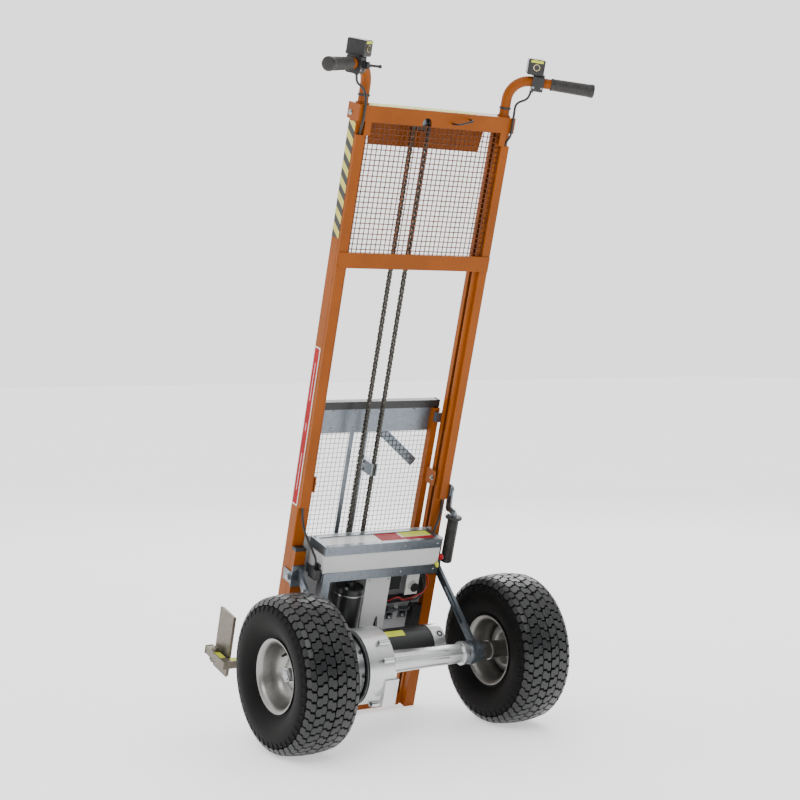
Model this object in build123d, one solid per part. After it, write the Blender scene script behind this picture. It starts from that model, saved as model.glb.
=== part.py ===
"""Battery powered lift trolley: a leaning mast on two fat tyres, with a chain
driven carriage. Everything is drawn in the frame of the mast (X right, Y away
from the operator, Z up the mast, origin on the wheel axis) and leaned at the end.
Millimetres."""
import math
import os

from build123d import *

os.makedirs("parts", exist_ok=True)

# driving sizes
lean = 16.5
tyre_radius = 190.5
tyre_width = 152
wheel_gap = 11
rim_radius = 89
mast_width = 443
mast_top = 1314
rail_width = 35
rail_depth = 34
rail_rear = 244
rail_wall = 3
slot_width = 11.5
roller_radius = 10.2
sheet = 3
chain_pitch = 9.525
chain_teeth = 14
chain_x = -32
top_sprocket_z = 1286
drive_sprocket_z = -45
shaft_radius = 12.5
shaft_fit = 0.05
slide_gap = 0.5
box_end_gap = 17
box_bottom = 151
box_height = 94
box_rear = 163
handle_rise = 93
control_end = 81
bare_tube = 19
grip_length = 104
handle_radius = 12.5
carriage_top = 554
carriage_bottom = -140
pad_x = 304
pad_height = 165
guard_bottom = 931

# values that follow
half_mast = mast_width / 2
rail_inner = half_mast - rail_width
rail_front = rail_rear + rail_depth
top_face = mast_top + sheet
slot_y = rail_rear + rail_wall + roller_radius + 0.05
lean_sin = math.sin(math.radians(lean))
lean_cos = math.cos(math.radians(lean))
post_rear = rail_rear - 20
foot_z = -(tyre_radius + post_rear * lean_sin) / lean_cos
box_top = box_bottom + box_height
half_box = rail_inner + 4.5 - box_end_gap
pitch_radius = chain_pitch / 2 / math.sin(math.pi / chain_teeth)
chain_y = slot_y
handle_x = half_mast - rail_width / 2
handle_y = rail_rear + 13
handle_z = top_face + handle_rise
tube_y = 321
tube_z = carriage_bottom + 13
handle_reach = control_end + bare_tube + grip_length
arm_x = rail_inner + 14.5
half_track = arm_x + 22 + wheel_gap + tyre_width / 2
gear_end = -(rail_inner - 0.5)
gear_face = gear_end + 98
motor_end = arm_x - 92


def block(x0, x1, y0, y1, z0, z1):
    """A box between two corners."""
    middle = Pos((x0 + x1) / 2, (y0 + y1) / 2, (z0 + z1) / 2)
    return middle * Box(abs(x1 - x0), abs(y1 - y0), abs(z1 - z0))


def rod(start, end, radius):
    """A round bar between two points."""
    line = Vector(*end) - Vector(*start)
    plane = Plane(origin=start, z_dir=line)
    return plane * Cylinder(radius, line.length, align=(Align.CENTER, Align.CENTER, Align.MIN))


def tube(start, end, outer, inner):
    """A round tube between two points."""
    return rod(start, end, outer) - rod(start, end, inner)


def soft_block(x0, x1, y0, y1, z0, z1, radius):
    """A box with all its edges rounded."""
    shape = block(x0, x1, y0, y1, z0, z1)
    return fillet(shape.edges(), radius)


def flat_bar(x0, x1, a, b, width):
    """A flat bar between two points of the YZ plane, x0 to x1 thick."""
    dy = b[0] - a[0]
    dz = b[1] - a[1]
    length = math.hypot(dy, dz)
    bar = Box(x1 - x0, length, width)
    turn = math.degrees(math.atan2(dz, dy))
    return Pos((x0 + x1) / 2, (a[0] + b[0]) / 2, (a[1] + b[1]) / 2) * Rot(X=turn) * bar


def other_side(shape):
    """The same piece on the left of the mast."""
    return mirror(shape, about=Plane.YZ)


def cord(points, radius, name):
    """A cable along straight runs joined by tangent arcs."""
    radii = []
    for i in range(1, len(points) - 1):
        before = Vector(*points[i]) - Vector(*points[i - 1])
        after = Vector(*points[i + 1]) - Vector(*points[i])
        turn = math.radians(before.get_angle(after))
        radii.append(0.45 * min(before.length, after.length) / math.tan(turn / 2))
    path = FilletPolyline(*points, radius=radii)
    section = Plane(origin=path @ 0, z_dir=path % 0) * Circle(radius)
    shape = sweep(section, path=path)
    print(name, "length", round(path.length, 1), "radii", [round(r, 1) for r in radii],
          "volume share", round(shape.volume / (math.pi * radius ** 2 * path.length), 4))
    return shape


def rail():
    """The right mast rail: a C section with a slot for the roller axles and a
    closed chamber in front. The front lower corner is round."""
    outer = block(rail_inner, half_mast, rail_rear, rail_front, foot_z, mast_top)
    outer = fillet(outer.edges().filter_by(Axis.Z), 2.5)
    inside = rail_inner + rail_wall
    outside = half_mast - rail_wall
    back = rail_rear + rail_wall
    front = back + 2 * roller_radius + 0.1
    outer -= block(inside, outside, back, front, foot_z - 1, mast_top + 1)
    outer -= block(inside, outside, front + rail_wall, rail_front - rail_wall, foot_z - 1, mast_top + 1)
    slot0 = slot_y - slot_width / 2
    outer -= block(rail_inner - 1, inside + 1, slot0, slot0 + slot_width, foot_z - 1, mast_top + 1)
    r = 28
    corner = block(rail_inner - 1, half_mast + 1, rail_front - r, rail_front + 1, foot_z - 1, foot_z + r)
    corner -= rod((rail_inner - 2, rail_front - r, foot_z + r), (half_mast + 2, rail_front - r, foot_z + r), r)
    return outer - corner


def duct():
    """The sheet channel behind the right rail that covers the cable."""
    x0 = half_mast - 24.5
    x1 = half_mast - 0.5
    outer = block(x0, x1, rail_rear - 8, rail_rear, 323, 1247)
    return outer - block(x0 + 1.2, x1 - 1.2, rail_rear - 6.8, rail_rear + 1, 322, 1248)


def crosshead():
    """The folded cap over both rails, with an open notch behind the top
    sprocket."""
    rear = rail_rear - 11
    end = half_mast + sheet
    low = top_face - 38
    cap = block(-end, end, rear, rail_front + 6, low, top_face)
    cap -= block(-half_mast, half_mast, rear + sheet, rail_front + sheet, low - 1, mast_top)
    for side in (-1, 1):
        cap += block(side * rail_inner, side * (rail_inner + 17), rear, rear + sheet, low - 32, low)
    z = top_sprocket_z
    cap -= rod((chain_x, rear - 1, z), (chain_x, rear + sheet + 1, z), 13)
    cap -= block(chain_x - 13, chain_x + 13, rear - 1, rear + sheet + 1, low - 1, z)
    return cap


def head_plate():
    """The trapezium that carries the top sprocket's pin."""
    wide = rail_inner - 14.5
    narrow = rail_inner - 26.5
    low = top_face - 95
    outline = Polygon((-narrow, low), (narrow, low), (wide, mast_top), (-wide, mast_top), align=None)
    plate = extrude(Plane.XZ * outline, -sheet)
    plate = Pos(0, rail_front, 0) * plate
    return plate


def guard_bar():
    """The bar under the chain guard, with a lip that stands the mesh."""
    end = half_mast - 1.5
    bar = block(-end, end, rail_rear - 11, rail_rear - 8, guard_bottom, guard_bottom + 38)
    cut = Plane.XZ * Polygon((-end, guard_bottom), (-end + 6, guard_bottom), (-end, guard_bottom + 9), align=None)
    bar -= extrude(cut, 600, both=True)
    lip = half_mast - 25.5
    bar += block(-lip, lip, rail_rear - 9, rail_rear, guard_bottom + 35, guard_bottom + 38)
    return bar


def guard_mesh():
    """Welded wires in two layers that touch."""
    wires = []
    half = half_mast - 26.5
    z0 = guard_bottom + 38
    z1 = top_face - 36
    count = 31
    for i in range(count):
        x = -half + 2 * half * i / (count - 1)
        wires.append(block(x - 1, x + 1, rail_rear - 2, rail_rear, z0, z1))
    rows = 25
    for i in range(rows):
        z = z0 + 7 + (z1 - z0 - 10) * i / (rows - 1)
        wires.append(block(-half - 1, half + 1, rail_rear - 4, rail_rear - 2, z - 1, z + 1))
    return wires


def post():
    """The rectangular tube behind the right rail's foot."""
    x0 = rail_inner + 4.5
    outer = block(x0, half_mast, post_rear, rail_rear, foot_z, 212)
    outer -= block(x0 + 2, half_mast - 2, post_rear + 2, rail_rear - 2, foot_z - 1, 213)
    outer -= rod((x0 - 1, rail_rear - 9, 142), (half_mast + 1, rail_rear - 9, 142), 5.1)
    return outer


def post_cap():
    """The plastic plug on a post."""
    x0 = rail_inner + 4.5
    cap = block(x0, half_mast, post_rear, rail_rear - 0.5, 212, 221)
    cap = chamfer(cap.edges().group_by(Axis.Z)[-1], 2.5)
    cap += block(x0 + 2.2, half_mast - 2.2, post_rear + 2.2, rail_rear - 2.2, 200, 212)
    return cap


def base_plate():
    """The plate that carries the battery box and the lift drive."""
    half = rail_inner + 3.5
    plate = block(-half, half, rail_rear - 4, rail_rear, -90, box_top)
    plate -= rod((chain_x, rail_rear - 6, drive_sprocket_z), (chain_x, rail_rear + 2, drive_sprocket_z), 14)
    return plate


def stadium(radius):
    """The outline of the chain loop at a distance from the sprocket centres."""
    middle = (top_sprocket_z + drive_sprocket_z) / 2
    span = top_sprocket_z - drive_sprocket_z
    shape = Pos(chain_x, middle) * Rectangle(2 * radius, span)
    shape += Pos(chain_x, top_sprocket_z) * Circle(radius)
    shape += Pos(chain_x, drive_sprocket_z) * Circle(radius)
    return shape


def chain():
    """The roller chain as one band: two rows of plates that straddle the teeth
    round each sprocket."""
    half_link = 4.1
    half_width = 6.45
    loop = stadium(pitch_radius + half_link) - stadium(pitch_radius - half_link)
    band = extrude(Plane.XZ * loop, half_width, both=True)
    band = Pos(0, chain_y, 0) * band
    for z in (top_sprocket_z, drive_sprocket_z):
        band -= rod((chain_x, chain_y - 2.95, z), (chain_x, chain_y + 2.95, z), pitch_radius + half_link + 1)
    return band


def sprocket(z):
    """Fourteen teeth cut by roller seats, with a hub on both faces."""
    seat = chain_pitch * 0.34
    disc = Circle(pitch_radius + 2.8)
    for i in range(chain_teeth):
        a = 2 * math.pi * i / chain_teeth
        disc -= Pos(pitch_radius * math.cos(a), pitch_radius * math.sin(a)) * Circle(seat)
    wheel = extrude(disc, 2.65, both=True)
    wheel += Cylinder(13, 12)
    return Pos(chain_x, chain_y, z) * Rot(X=90) * wheel


def top_sprocket():
    """The idler under the crosshead, bored for its pin."""
    wheel = sprocket(top_sprocket_z)
    return wheel - rod((chain_x, chain_y - 9, top_sprocket_z), (chain_x, chain_y + 9, top_sprocket_z), 6.05)


def drive_sprocket():
    """The driving sprocket with the gearbox's output shaft."""
    wheel = sprocket(drive_sprocket_z)
    return wheel + rod((chain_x, 206, drive_sprocket_z), (chain_x, chain_y, drive_sprocket_z), 8)


def sprocket_pin():
    """The pin, spacer and nut that hold the top sprocket on the head plate."""
    z = top_sprocket_z
    pin = rod((chain_x, chain_y - 9, z), (chain_x, rail_front, z), 6)
    pin += rod((chain_x, chain_y + 6.4, z), (chain_x, rail_front, z), 11)
    nut = extrude(Plane.XZ * RegularPolygon(9.5, 6), 3)
    return pin + Pos(chain_x, chain_y - 6.4, z) * nut


def lift_gearbox():
    """The worm gearbox: a round wheel case and a case for the motor's worm."""
    z = drive_sprocket_z
    case = rod((chain_x, 188, z), (chain_x, rail_rear - 4, z), 32)
    case += block(-100, chain_x - 2, 160, 226, z, z + 32)
    case += rod((-67, 193, z - 30), (-67, 193, z + 2), 22)
    return case - rod((chain_x, 205, z), (chain_x, rail_rear, z), 8.05)


def lift_motor():
    """The upright motor with its end bell and boss."""
    z0 = drive_sprocket_z + 32
    motor = rod((-67, 193, z0), (-67, 193, z0 + 121), 37.5)
    motor += rod((-67, 193, z0 + 121), (-67, 193, z0 + 135), 36)
    motor += rod((-67, 193, z0 + 135), (-67, 193, z0 + 147), 12)
    return motor


def battery_box():
    """The tray that holds the batteries."""
    x = half_box - 2
    y0 = box_rear + 2
    y1 = rail_rear - 6
    tray = block(-x, x, y0, y1, box_bottom + 2, box_top - 4)
    return tray - block(-x + 2, x - 2, y0 + 2, y1 - 2, box_bottom + 4, box_top)


def battery_lid():
    """The lid under the upper frame."""
    x = half_box - 2
    return block(-x, x, box_rear + 2, rail_rear - 6, box_top - 4, box_top - 2)


def box_frames():
    """The two angle frames round the box and the upright angle below it."""
    y0 = box_rear
    y1 = rail_rear - 4
    shapes = []
    for z0, z1, flange in ((box_bottom, box_bottom + 24, box_bottom), (box_top - 24, box_top, box_top - 2)):
        ring = block(-half_box, half_box, y0, y1, z0, z1)
        ring -= block(-half_box + 2, half_box - 2, y0 + 2, y1 - 2, z0 - 1, z1 + 1)
        lip = block(-half_box, half_box, y0, y1, flange, flange + 2)
        lip -= block(-half_box + 14, half_box - 14, y0 + 14, y1 - 14, flange - 1, flange + 3)
        shapes.append(ring + lip)
    x0 = -half_box + 3
    upright = block(x0, x0 + 22, y0 - 3, y0, -20, box_bottom + 24)
    upright += block(x0, x0 + 3, y0 - 3, y1, -20, 20)
    upright += block(x0, x0 + 3, y0 - 3, y0 + 22, 0, box_bottom)
    shapes.append(upright)
    return shapes


def batteries():
    """Two sealed blocks side by side in the tray."""
    cells = []
    for side in (-1, 1):
        x0 = side * 4
        x1 = side * (half_box - 8)
        cells.append(block(min(x0, x1), max(x0, x1), box_rear + 8, rail_rear - 12, box_bottom + 4, box_top - 10))
    return cells


def drive_cover():
    """The bent sheet over the chain drive, open at its lower right."""
    y1 = rail_rear - 4
    cover = block(-28, 45, 180, y1, -10, box_bottom)
    cover -= block(-26, 43, 182, y1 + 1, -11, box_bottom + 1)
    gap = Plane.XZ * Polygon((8, -11), (30, -11), (24, 35), (18, 35), align=None)
    return cover - extrude(gap, -183)


def controller():
    """The power controller, its terminal strip, a relay, a cable clip and the
    plugs on both ends of the box."""
    y1 = rail_rear - 4
    case = soft_block(56, 98, y1 - 34, y1, 92, 147, 3)
    strip = block(56, 158, y1 - 16, y1, 48, 62)
    relay = block(150, 172, y1 - 30, y1, 66, 146)
    bar = block(158, 186, y1 - 22, y1, -60, 34)
    clip = block(4, 36, 186, y1, -46, -40)
    left = block(-half_box - 17, -half_box, box_rear + 4, box_rear + 38, box_bottom + 6, box_bottom + 32)
    right = block(half_box, half_box + 15, y1 - 34, y1 - 4, box_bottom + 4, box_bottom + 30)
    return [case, strip, relay, bar, clip, left, right]


def charge_socket():
    """The white plate that hangs below the box and the round socket on it."""
    x = half_box - 47
    plate = block(x - 19, x + 19, 196, 199, 80, box_bottom + 2)
    socket = rod((x, 184, 104), (x, 196, 104), 12)
    socket -= rod((x, 183, 104), (x, 192, 104), 8)
    return [plate, socket]


def gear_housing():
    """The round gear case on the axle, its side cover and brake drum, the seat
    of the motor and the bolt bosses."""
    g = gear_end
    case = rod((g + 26, 0, 0), (gear_face, 0, 0), 92)
    case += rod((g + 18, 0, 0), (g + 26, 0, 0), 86)
    case += rod((g, 0, 0), (g + 18, 0, 0), 58)
    case += rod((g + 61, 80, -6), (gear_face, 80, -6), 52)
    for turn in (31, 58, 141, 186, 222, 300):
        a = math.radians(turn)
        y = -96 * math.sin(a)
        z = 96 * math.cos(a)
        case += rod((g + 62, y, z), (g + 90, y, z), 7)
    case += block(g + 69, g + 106, -97, -84, -65, 5)
    return case - rod((g - 4, 0, 0), (g + 106, 0, 0), shaft_radius + shaft_fit)


def axle_tube():
    """The tube round the right half shaft, with four ribs and a flange."""
    end = arm_x - 11
    body = rod((gear_face, 0, 0), (end, 0, 0), 24)
    body += rod((end - 20, 0, 0), (end - 14, 0, 0), 30)
    for turn in (0, 90, 180, 270):
        a = math.radians(turn + 20)
        rib = flat_bar(-2, 2, (0, 0), (26.5 * math.cos(a), 26.5 * math.sin(a)), 4)
        body += Pos((end + gear_face) / 2 - 8, 0, 0) * scale(rib, by=((end - gear_face - 28) / 4, 1, 1))
    return body - rod((gear_face - 2, 0, 0), (end + 1, 0, 0), shaft_radius + shaft_fit)


def drive_motor():
    """The can of the drive motor beside the axle."""
    return rod((gear_face, 80, -6), (motor_end, 80, -6), 50)


def drive_motor_cap():
    """The end bell of the drive motor with a round brush plug."""
    x = motor_end
    cap = rod((x, 80, -6), (x + 38, 80, -6), 50)
    cap = fillet(cap.edges().group_by(Axis.X)[-1], 5)
    return cap + rod((x + 19, 80 - 28, -6 + 37), (x + 19, 80 - 32.4, -6 + 42.8), 10)


def support_arm():
    """The slotted flat arm from the right post down to the axle clamp."""
    x0 = arm_x - 0
    x1 = arm_x + 8
    top = (240, 165.5)
    foot = (2, 18)
    arm = flat_bar(x0, x1, foot, top, 22)
    arm += rod((x0, 0, 0), (x1, 0, 0), 28)
    arm -= block(x0 - 1, x1 + 1, post_rear - 3, 300, 0, 300)
    dy = top[0] - foot[0]
    dz = top[1] - foot[1]
    a = (foot[0] + 0.24 * dy, foot[1] + 0.24 * dz)
    b = (foot[0] + 0.66 * dy, foot[1] + 0.66 * dz)
    arm -= flat_bar(x0 - 1, x1 + 1, a, b, 8)
    arm -= rod((x0 - 1, 0, 0), (x1 + 1, 0, 0), 20.1)
    return arm


def axle_clamp():
    """The two halves of the clamp each side of the right arm."""
    x0 = arm_x - 11
    inner = rod((x0, 0, 0), (arm_x, 0, 0), 30)
    inner += rod((arm_x, 0, 0), (arm_x + 8, 0, 0), 20)
    inner -= rod((x0 - 1, 0, 0), (arm_x + 9, 0, 0), shaft_radius + shaft_fit)
    outer = rod((arm_x + 8, 0, 0), (arm_x + 22, 0, 0), 28)
    outer -= rod((arm_x + 7, 0, 0), (arm_x + 23, 0, 0), shaft_radius + shaft_fit)
    return [inner, outer]


def post_bracket():
    """The plate round the right post that takes the arm, with its bolt."""
    rear = post_rear - 3
    plate = block(rail_inner + 4.5, half_mast + 3, rear, post_rear, 120, 176)
    plate += block(half_mast, half_mast + 3, post_rear, 262, 128, 158)
    z = 142
    y = rail_rear - 9
    plate -= rod((half_mast - 1, y, z), (half_mast + 4, y, z), 5.1)
    bolt = rod((rail_inner + 8, y, z), (half_mast + 4, y, z), 5)
    head = Plane(origin=(half_mast + 3, y, z), z_dir=(1, 0, 0)) * extrude(RegularPolygon(9, 6), 5.5)
    return [plate, bolt + head]


def lever_bracket():
    """The plate beside the right rail with the pivot of the release lever."""
    plate = block(half_mast, half_mast + 3, 228, 262, 335, 365)
    plate += rod((half_mast + 3, 236, 350), (half_mast + 9, 236, 350), 5)
    return plate + rod((half_mast + 9, 236, 350), (half_mast + 12, 236, 350), 8)


def lever_bar():
    """The cranked flat lever with a round core for its grip."""
    x0 = half_mast + 3.5
    x1 = half_mast + 8.5
    xm = half_mast + 6
    bar = flat_bar(x0, x1, (236, 350), (232, 300), 20)
    bar += rod((x0, 236, 350), (x1, 236, 350), 11)
    bar += rod((x0, 232, 300), (x1, 232, 300), 10)
    bar += flat_bar(x0, x1, (232, 300), (203, 296), 16)
    bar += rod((xm, 203, 300), (xm, 203, 168), 7)
    return bar - rod((x0 - 1, 236, 350), (x1 + 1, 236, 350), 5.05)


def lever_grip():
    """The rubber grip of the release lever."""
    xm = half_mast + 6
    grip = rod((xm, 203, 160), (xm, 203, 287), 15)
    grip += rod((xm, 203, 280), (xm, 203, 287), 22)
    grip = fillet(grip.edges().group_by(Axis.Z)[0], 4)
    return grip - rod((xm, 203, 167.9), (xm, 203, 300), 7.05)


def handle_path():
    """The right handlebar: up, a bend, then level out and back."""
    reach = handle_reach
    start = (handle_x, handle_y, top_face)
    bend = (handle_x, handle_y, handle_z)
    end = (handle_x + 0.845 * reach, handle_y - 0.535 * reach, handle_z)
    return FilletPolyline(start, bend, end, radius=52)


def handlebar():
    """The right handlebar tube with a weld collar."""
    path = handle_path()
    section = Plane(origin=path @ 0, z_dir=path % 0) * (Circle(handle_radius) - Circle(handle_radius - 2))
    bar = sweep(section, path=path)
    collar = tube((handle_x, handle_y, top_face), (handle_x, handle_y, top_face + 4), 16, handle_radius - 1)
    return bar + collar


def handle_plane():
    """The frame of the level run: X along the bar, Y ahead, Z up."""
    return Plane(origin=(handle_x, handle_y, handle_z), x_dir=(0.845, -0.535, 0), z_dir=(0, 0, 1))


def grip():
    """The tapered rubber grip with a closed end."""
    start = handle_reach - grip_length
    body = Pos(start, 0, 0) * Rot(Y=90) * Cone(14.5, 16.5, grip_length + 3, align=(Align.CENTER, Align.CENTER, Align.MIN))
    core = Pos(start - 1, 0, 0) * Rot(Y=90) * Cylinder(
        handle_radius + 0.05, grip_length + 1.1, align=(Align.CENTER, Align.CENTER, Align.MIN))
    return handle_plane() * (body - core)


def control_body():
    """The switch housing over the right bar: a box, a neck round the tube and
    a pocket for the button."""
    box = block(36, 77, -22, 26, 17, 55)
    box = fillet(box.edges(), 4)
    neck = block(53, 81, -19, 19, -22, 20)
    neck = fillet(neck.edges().filter_by(Axis.X), 8)
    shape = box + neck
    shape -= Rot(Y=90) * Cylinder(handle_radius + 0.05, 400)
    shape -= Pos(57, -19, 36) * Rot(X=90) * Cylinder(6.3, 10)
    return shape


def thumb_post():
    """The small clevis for the thumb lever on the left housing."""
    shape = block(54, 64, -28, -18, -8, -4.5)
    shape += block(54, 64, -28, -18, 4.5, 8)
    return shape + Pos(59, -27, 0) * Cylinder(4, 16)


def control_right():
    """The right housing."""
    return handle_plane() * control_body()


def control_left():
    """The left housing with the thumb lever's clevis."""
    return other_side(handle_plane() * (control_body() + thumb_post()))


def button():
    """The round push button of the right housing."""
    shape = Pos(57, -21.5, 36) * Rot(X=90) * Cylinder(6, 7)
    return handle_plane() * shape


def thumb_lever():
    """The thumb lever on the left housing."""
    bar = Pos(-18, 0, 0) * Rot(Y=90) * Cylinder(3, 28)
    bar += Pos(-32, 0, 0) * Sphere(4.5)
    ring = Cylinder(7, 8) + Rot(Z=35) * bar - Cylinder(4.05, 20)
    return other_side(handle_plane() * Pos(59, -27, 0) * ring)


def cables():
    """Control cables down to the ducts, tails out of the ducts to the box, the
    head cable, the drive loop and the power leads."""
    x = handle_x
    upper = cord(
        [(x + 47, handle_y - 30, handle_z - 23), (x + 42, handle_y - 28, handle_z - 43),
         (x + 14, handle_y - 20, handle_z - 57), (x + 9, handle_y - 28, top_face + 10),
         (x + 10, handle_y - 29.4, top_face - 43), (x + 6, rail_rear - 3.2, top_face - 64),
         (x + 6, rail_rear - 3.2, top_face - 92)], 2.9, "upper cable")
    b = box_bottom
    left = cord(
        [(-x - 6, rail_rear - 3.4, 345), (-x - 6, rail_rear - 3.6, 312), (-x - 4, 224, 270),
         (-x + 8, 200, 235), (-half_box - 9, 186, 205), (-half_box - 9, 186, b + 32)], 2.9, "left tail")
    y1 = rail_rear - 4
    right = cord(
        [(x + 6, rail_rear - 3.4, 345), (x + 6, rail_rear - 3.6, 313), (x - 2, 228, 280),
         (x - 16, 224, 245), (half_box + 7, 221, 210), (half_box + 7, 221, b + 30)], 2.9, "right tail")
    head = cord(
        [(chain_x + 72, rail_rear - 11.6, 1291), (chain_x + 73, rail_rear - 37, 1293),
         (chain_x + 114, rail_rear - 39, 1305), (chain_x + 120, rail_rear - 11.8, 1304)], 2.2, "head cable")
    loop = cord(
        [(8, 196, -39.9), (9, 196, -5), (11, 196, 30), (29, 196, 30), (31, 196, -5), (32, 196, -39.9)],
        1.5, "drive loop")
    lead = cord(
        [(66, y1 - 16.3, 55), (67, y1 - 37, 57), (94, y1 - 41, 61), (126, y1 - 38, 60),
         (158, y1 - 38, 62), (178, y1 - 33, 82), (half_box + 7, y1 - 22, 112),
         (half_box + 7, y1 - 20, b + 3.8)], 1.8, "power lead")
    second = cord(
        [(66, y1 - 16.8, 51), (67, y1 - 34, 44), (92, y1 - 39, 38), (120, y1 - 39, 38),
         (145, y1 - 34, 44), (146, y1 - 16.8, 51)], 1.8, "second lead")
    return [upper, other_side(upper), left, right, head, loop, lead, second] + both(cable_tie())


def cable_tie():
    """A strap round the right handlebar and the cable."""
    z = top_face + 18
    tie = tube((handle_x, handle_y, z), (handle_x, handle_y, z + 5), 14.5, handle_radius + 0.05)
    return tie


def wheel_profile(points):
    """A ring about the wheel axis from points of axle distance and radius."""
    return revolve(Plane.XY * Polygon(*points, align=None), Axis.X)


def tyre():
    """The carcass as an open ring: tread, two bulging sides and two beads."""
    r = tyre_radius
    w = tyre_width / 2
    seat = rim_radius - 11
    bead = 55.9
    with BuildPart() as part:
        with BuildSketch(Plane.XY):
            with BuildLine():
                Line((-bead, seat), (-bead, rim_radius + 6))
                ThreePointArc((-bead, rim_radius + 6), (-w, (r + rim_radius) / 2 - 6), (-w + 8, r - 17))
                ThreePointArc((-w + 8, r - 17), (-w + 14, r - 8), (-w + 24, r - 4.5))
                ThreePointArc((-w + 24, r - 4.5), (0, r), (w - 24, r - 4.5))
                ThreePointArc((w - 24, r - 4.5), (w - 14, r - 8), (w - 8, r - 17))
                ThreePointArc((w - 8, r - 17), (w, (r + rim_radius) / 2 - 6), (bead, rim_radius + 6))
                Line((bead, rim_radius + 6), (bead, seat))
                Line((bead, seat), (bead - 12, seat))
                Line((bead - 12, seat), (bead - 10, rim_radius + 8))
                ThreePointArc((bead - 10, rim_radius + 8), (w - 10, (r + rim_radius) / 2 - 6), (w - 22, r - 26))
                ThreePointArc((w - 22, r - 26), (0, r - 18), (-w + 22, r - 26))
                ThreePointArc((-w + 22, r - 26), (-w + 10, (r + rim_radius) / 2 - 6), (-bead + 10, rim_radius + 8))
                Line((-bead + 10, rim_radius + 8), (-bead + 12, seat))
                Line((-bead + 12, seat), (-bead, seat))
            make_face()
        revolve(axis=Axis.X)
    return part.part


def rim():
    """The steel rim of the right wheel with its hub tube toward the mast."""
    r = rim_radius
    seat = r - 11
    barrel = wheel_profile([
        (-59, seat - 3), (-59, r), (-56, r), (-56, seat), (56, seat), (56, r), (59, r), (59, seat - 3)])
    dish = wheel_profile([
        (4, 22), (4, 34), (14, 46), (14, 60), (6, seat - 2), (10, seat - 2), (18, 61), (18, 45), (8, 33), (8, 22)])
    inner = arm_x + 23 - half_track
    hub = wheel_profile([(inner, shaft_radius + shaft_fit), (inner, 22), (14, 22), (14, shaft_radius + shaft_fit)])
    return barrel + dish + hub


def wheel_nut():
    """The nut and washer on the end of the right half shaft."""
    nut = Plane(origin=(14, 0, 0), z_dir=(1, 0, 0)) * extrude(RegularPolygon(18, 6), 14)
    nut += rod((14, 0, 0), (16, 0, 0), 21)
    nut -= rod((13, 0, 0), (40, 0, 0), shaft_radius + shaft_fit)
    return nut


def half_shaft(inner):
    """The right half shaft from the gear case to the wheel nut."""
    shaft = rod((inner, 0, 0), (half_track + 31, 0, 0), shaft_radius)
    return chamfer(shaft.edges().group_by(Axis.X)[-1], 1.5)


def carriage_frame():
    """Two upright tubes in front of the rails, tabs through which the roller
    axles pass and a tie across the foot."""
    outside = rail_inner + 3.5
    tube0 = outside - 18
    shape = None
    for side in (-1, 1):
        post0 = block(side * tube0, side * outside, 291, 309, carriage_bottom, carriage_top)
        post0 -= block(side * (tube0 + 2), side * (outside - 2), 293, 307, carriage_bottom + 20, carriage_top + 1)
        tab_in = side * (rail_inner - 9.5)
        tab_out = side * (rail_inner - 5.5)
        for z in (-100, 377):
            post0 += block(tab_in, tab_out, rail_rear + 5, 291, z - 20, z + 20)
            y = slot_y
            post0 += rod((tab_in, y, z), (side * (rail_inner + 20), y, z), 4)
        shape = post0 if shape is None else shape + post0
    return shape + block(-tube0, tube0, 291, 309, carriage_bottom, carriage_bottom + 18)


def roller(z):
    """One ball bearing roller inside the right rail."""
    x0 = rail_inner + rail_wall + 1.5
    return tube((x0, slot_y, z), (x0 + 14, slot_y, z), roller_radius, 4.05)


def backrest_mesh():
    """Upright wires over cross wires in front of the carriage."""
    wires = []
    half = rail_inner + 2.5
    z0 = carriage_bottom + 28
    z1 = carriage_top
    count = 31
    for i in range(count):
        x = -half + 2 * half * i / (count - 1)
        wires.append(block(x - 1, x + 1, 311, 313, z0, z1))
    rows = 14
    for i in range(rows):
        z = z0 + 4 + (z1 - z0 - 8) * i / (rows - 1)
        wires.append(block(-half - 1, half + 1, 309, 311, z - 1, z + 1))
    return wires


def backrest_top_bar():
    """The black square bar on top of the backrest with two end plugs."""
    end = rail_inner + 3.5
    bar = block(-end + 4, end - 4, 299, 319, carriage_top, carriage_top + 20)
    bar -= block(-end + 3, end - 3, 301, 317, carriage_top + 2, carriage_top + 18)
    plugs = []
    for side in (-1, 1):
        plug = block(side * (end - 4), side * (end + 1), 298, 320, carriage_top, carriage_top + 21)
        plugs.append(fillet(plug.edges().filter_by(Axis.X), 2))
    return [bar] + plugs


def backrest_strips():
    """The band under the top bar, two upright strips, a diagonal brace and
    four glides on the rails' faces."""
    inner = rail_inner - 14.5
    band = block(-inner, inner, 307, 309, carriage_top - 64, carriage_top)
    left = block(-62, -50, 307, 309, carriage_bottom + 18, carriage_top - 64)
    right = block(-22, -8, 307, 309, carriage_bottom + 18, carriage_top - 64)
    dx = 140
    dz = -110
    bar = Box(math.hypot(dx, dz), 3, 24)
    brace = Pos(80, 314.5, carriage_top - 99) * Rot(Y=math.degrees(math.atan2(-dz, dx))) * bar
    glides = []
    for side in (-1, 1):
        for z in (-70, 520):
            x0 = side * (rail_inner - 13)
            x1 = side * (rail_inner + 3.5)
            glides.append(block(x0, x1, rail_front + slide_gap, 291, z, z + 26))
    return [band, left, right, brace] + glides


def chain_anchor():
    """The fork that ties the carriage to the right run of the chain."""
    run = chain_x + pitch_radius
    y0 = chain_y - 7
    front = chain_y + 6.45 + slide_gap
    z0 = 392
    z1 = 424
    fork = block(run - 8.6, run + 8.6, y0, 307, z0, z1)
    return fork - block(run - 4.1 - slide_gap, run + 4.1 + slide_gap, y0 - 1, front, z0 - 1, z1 + 1)


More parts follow.
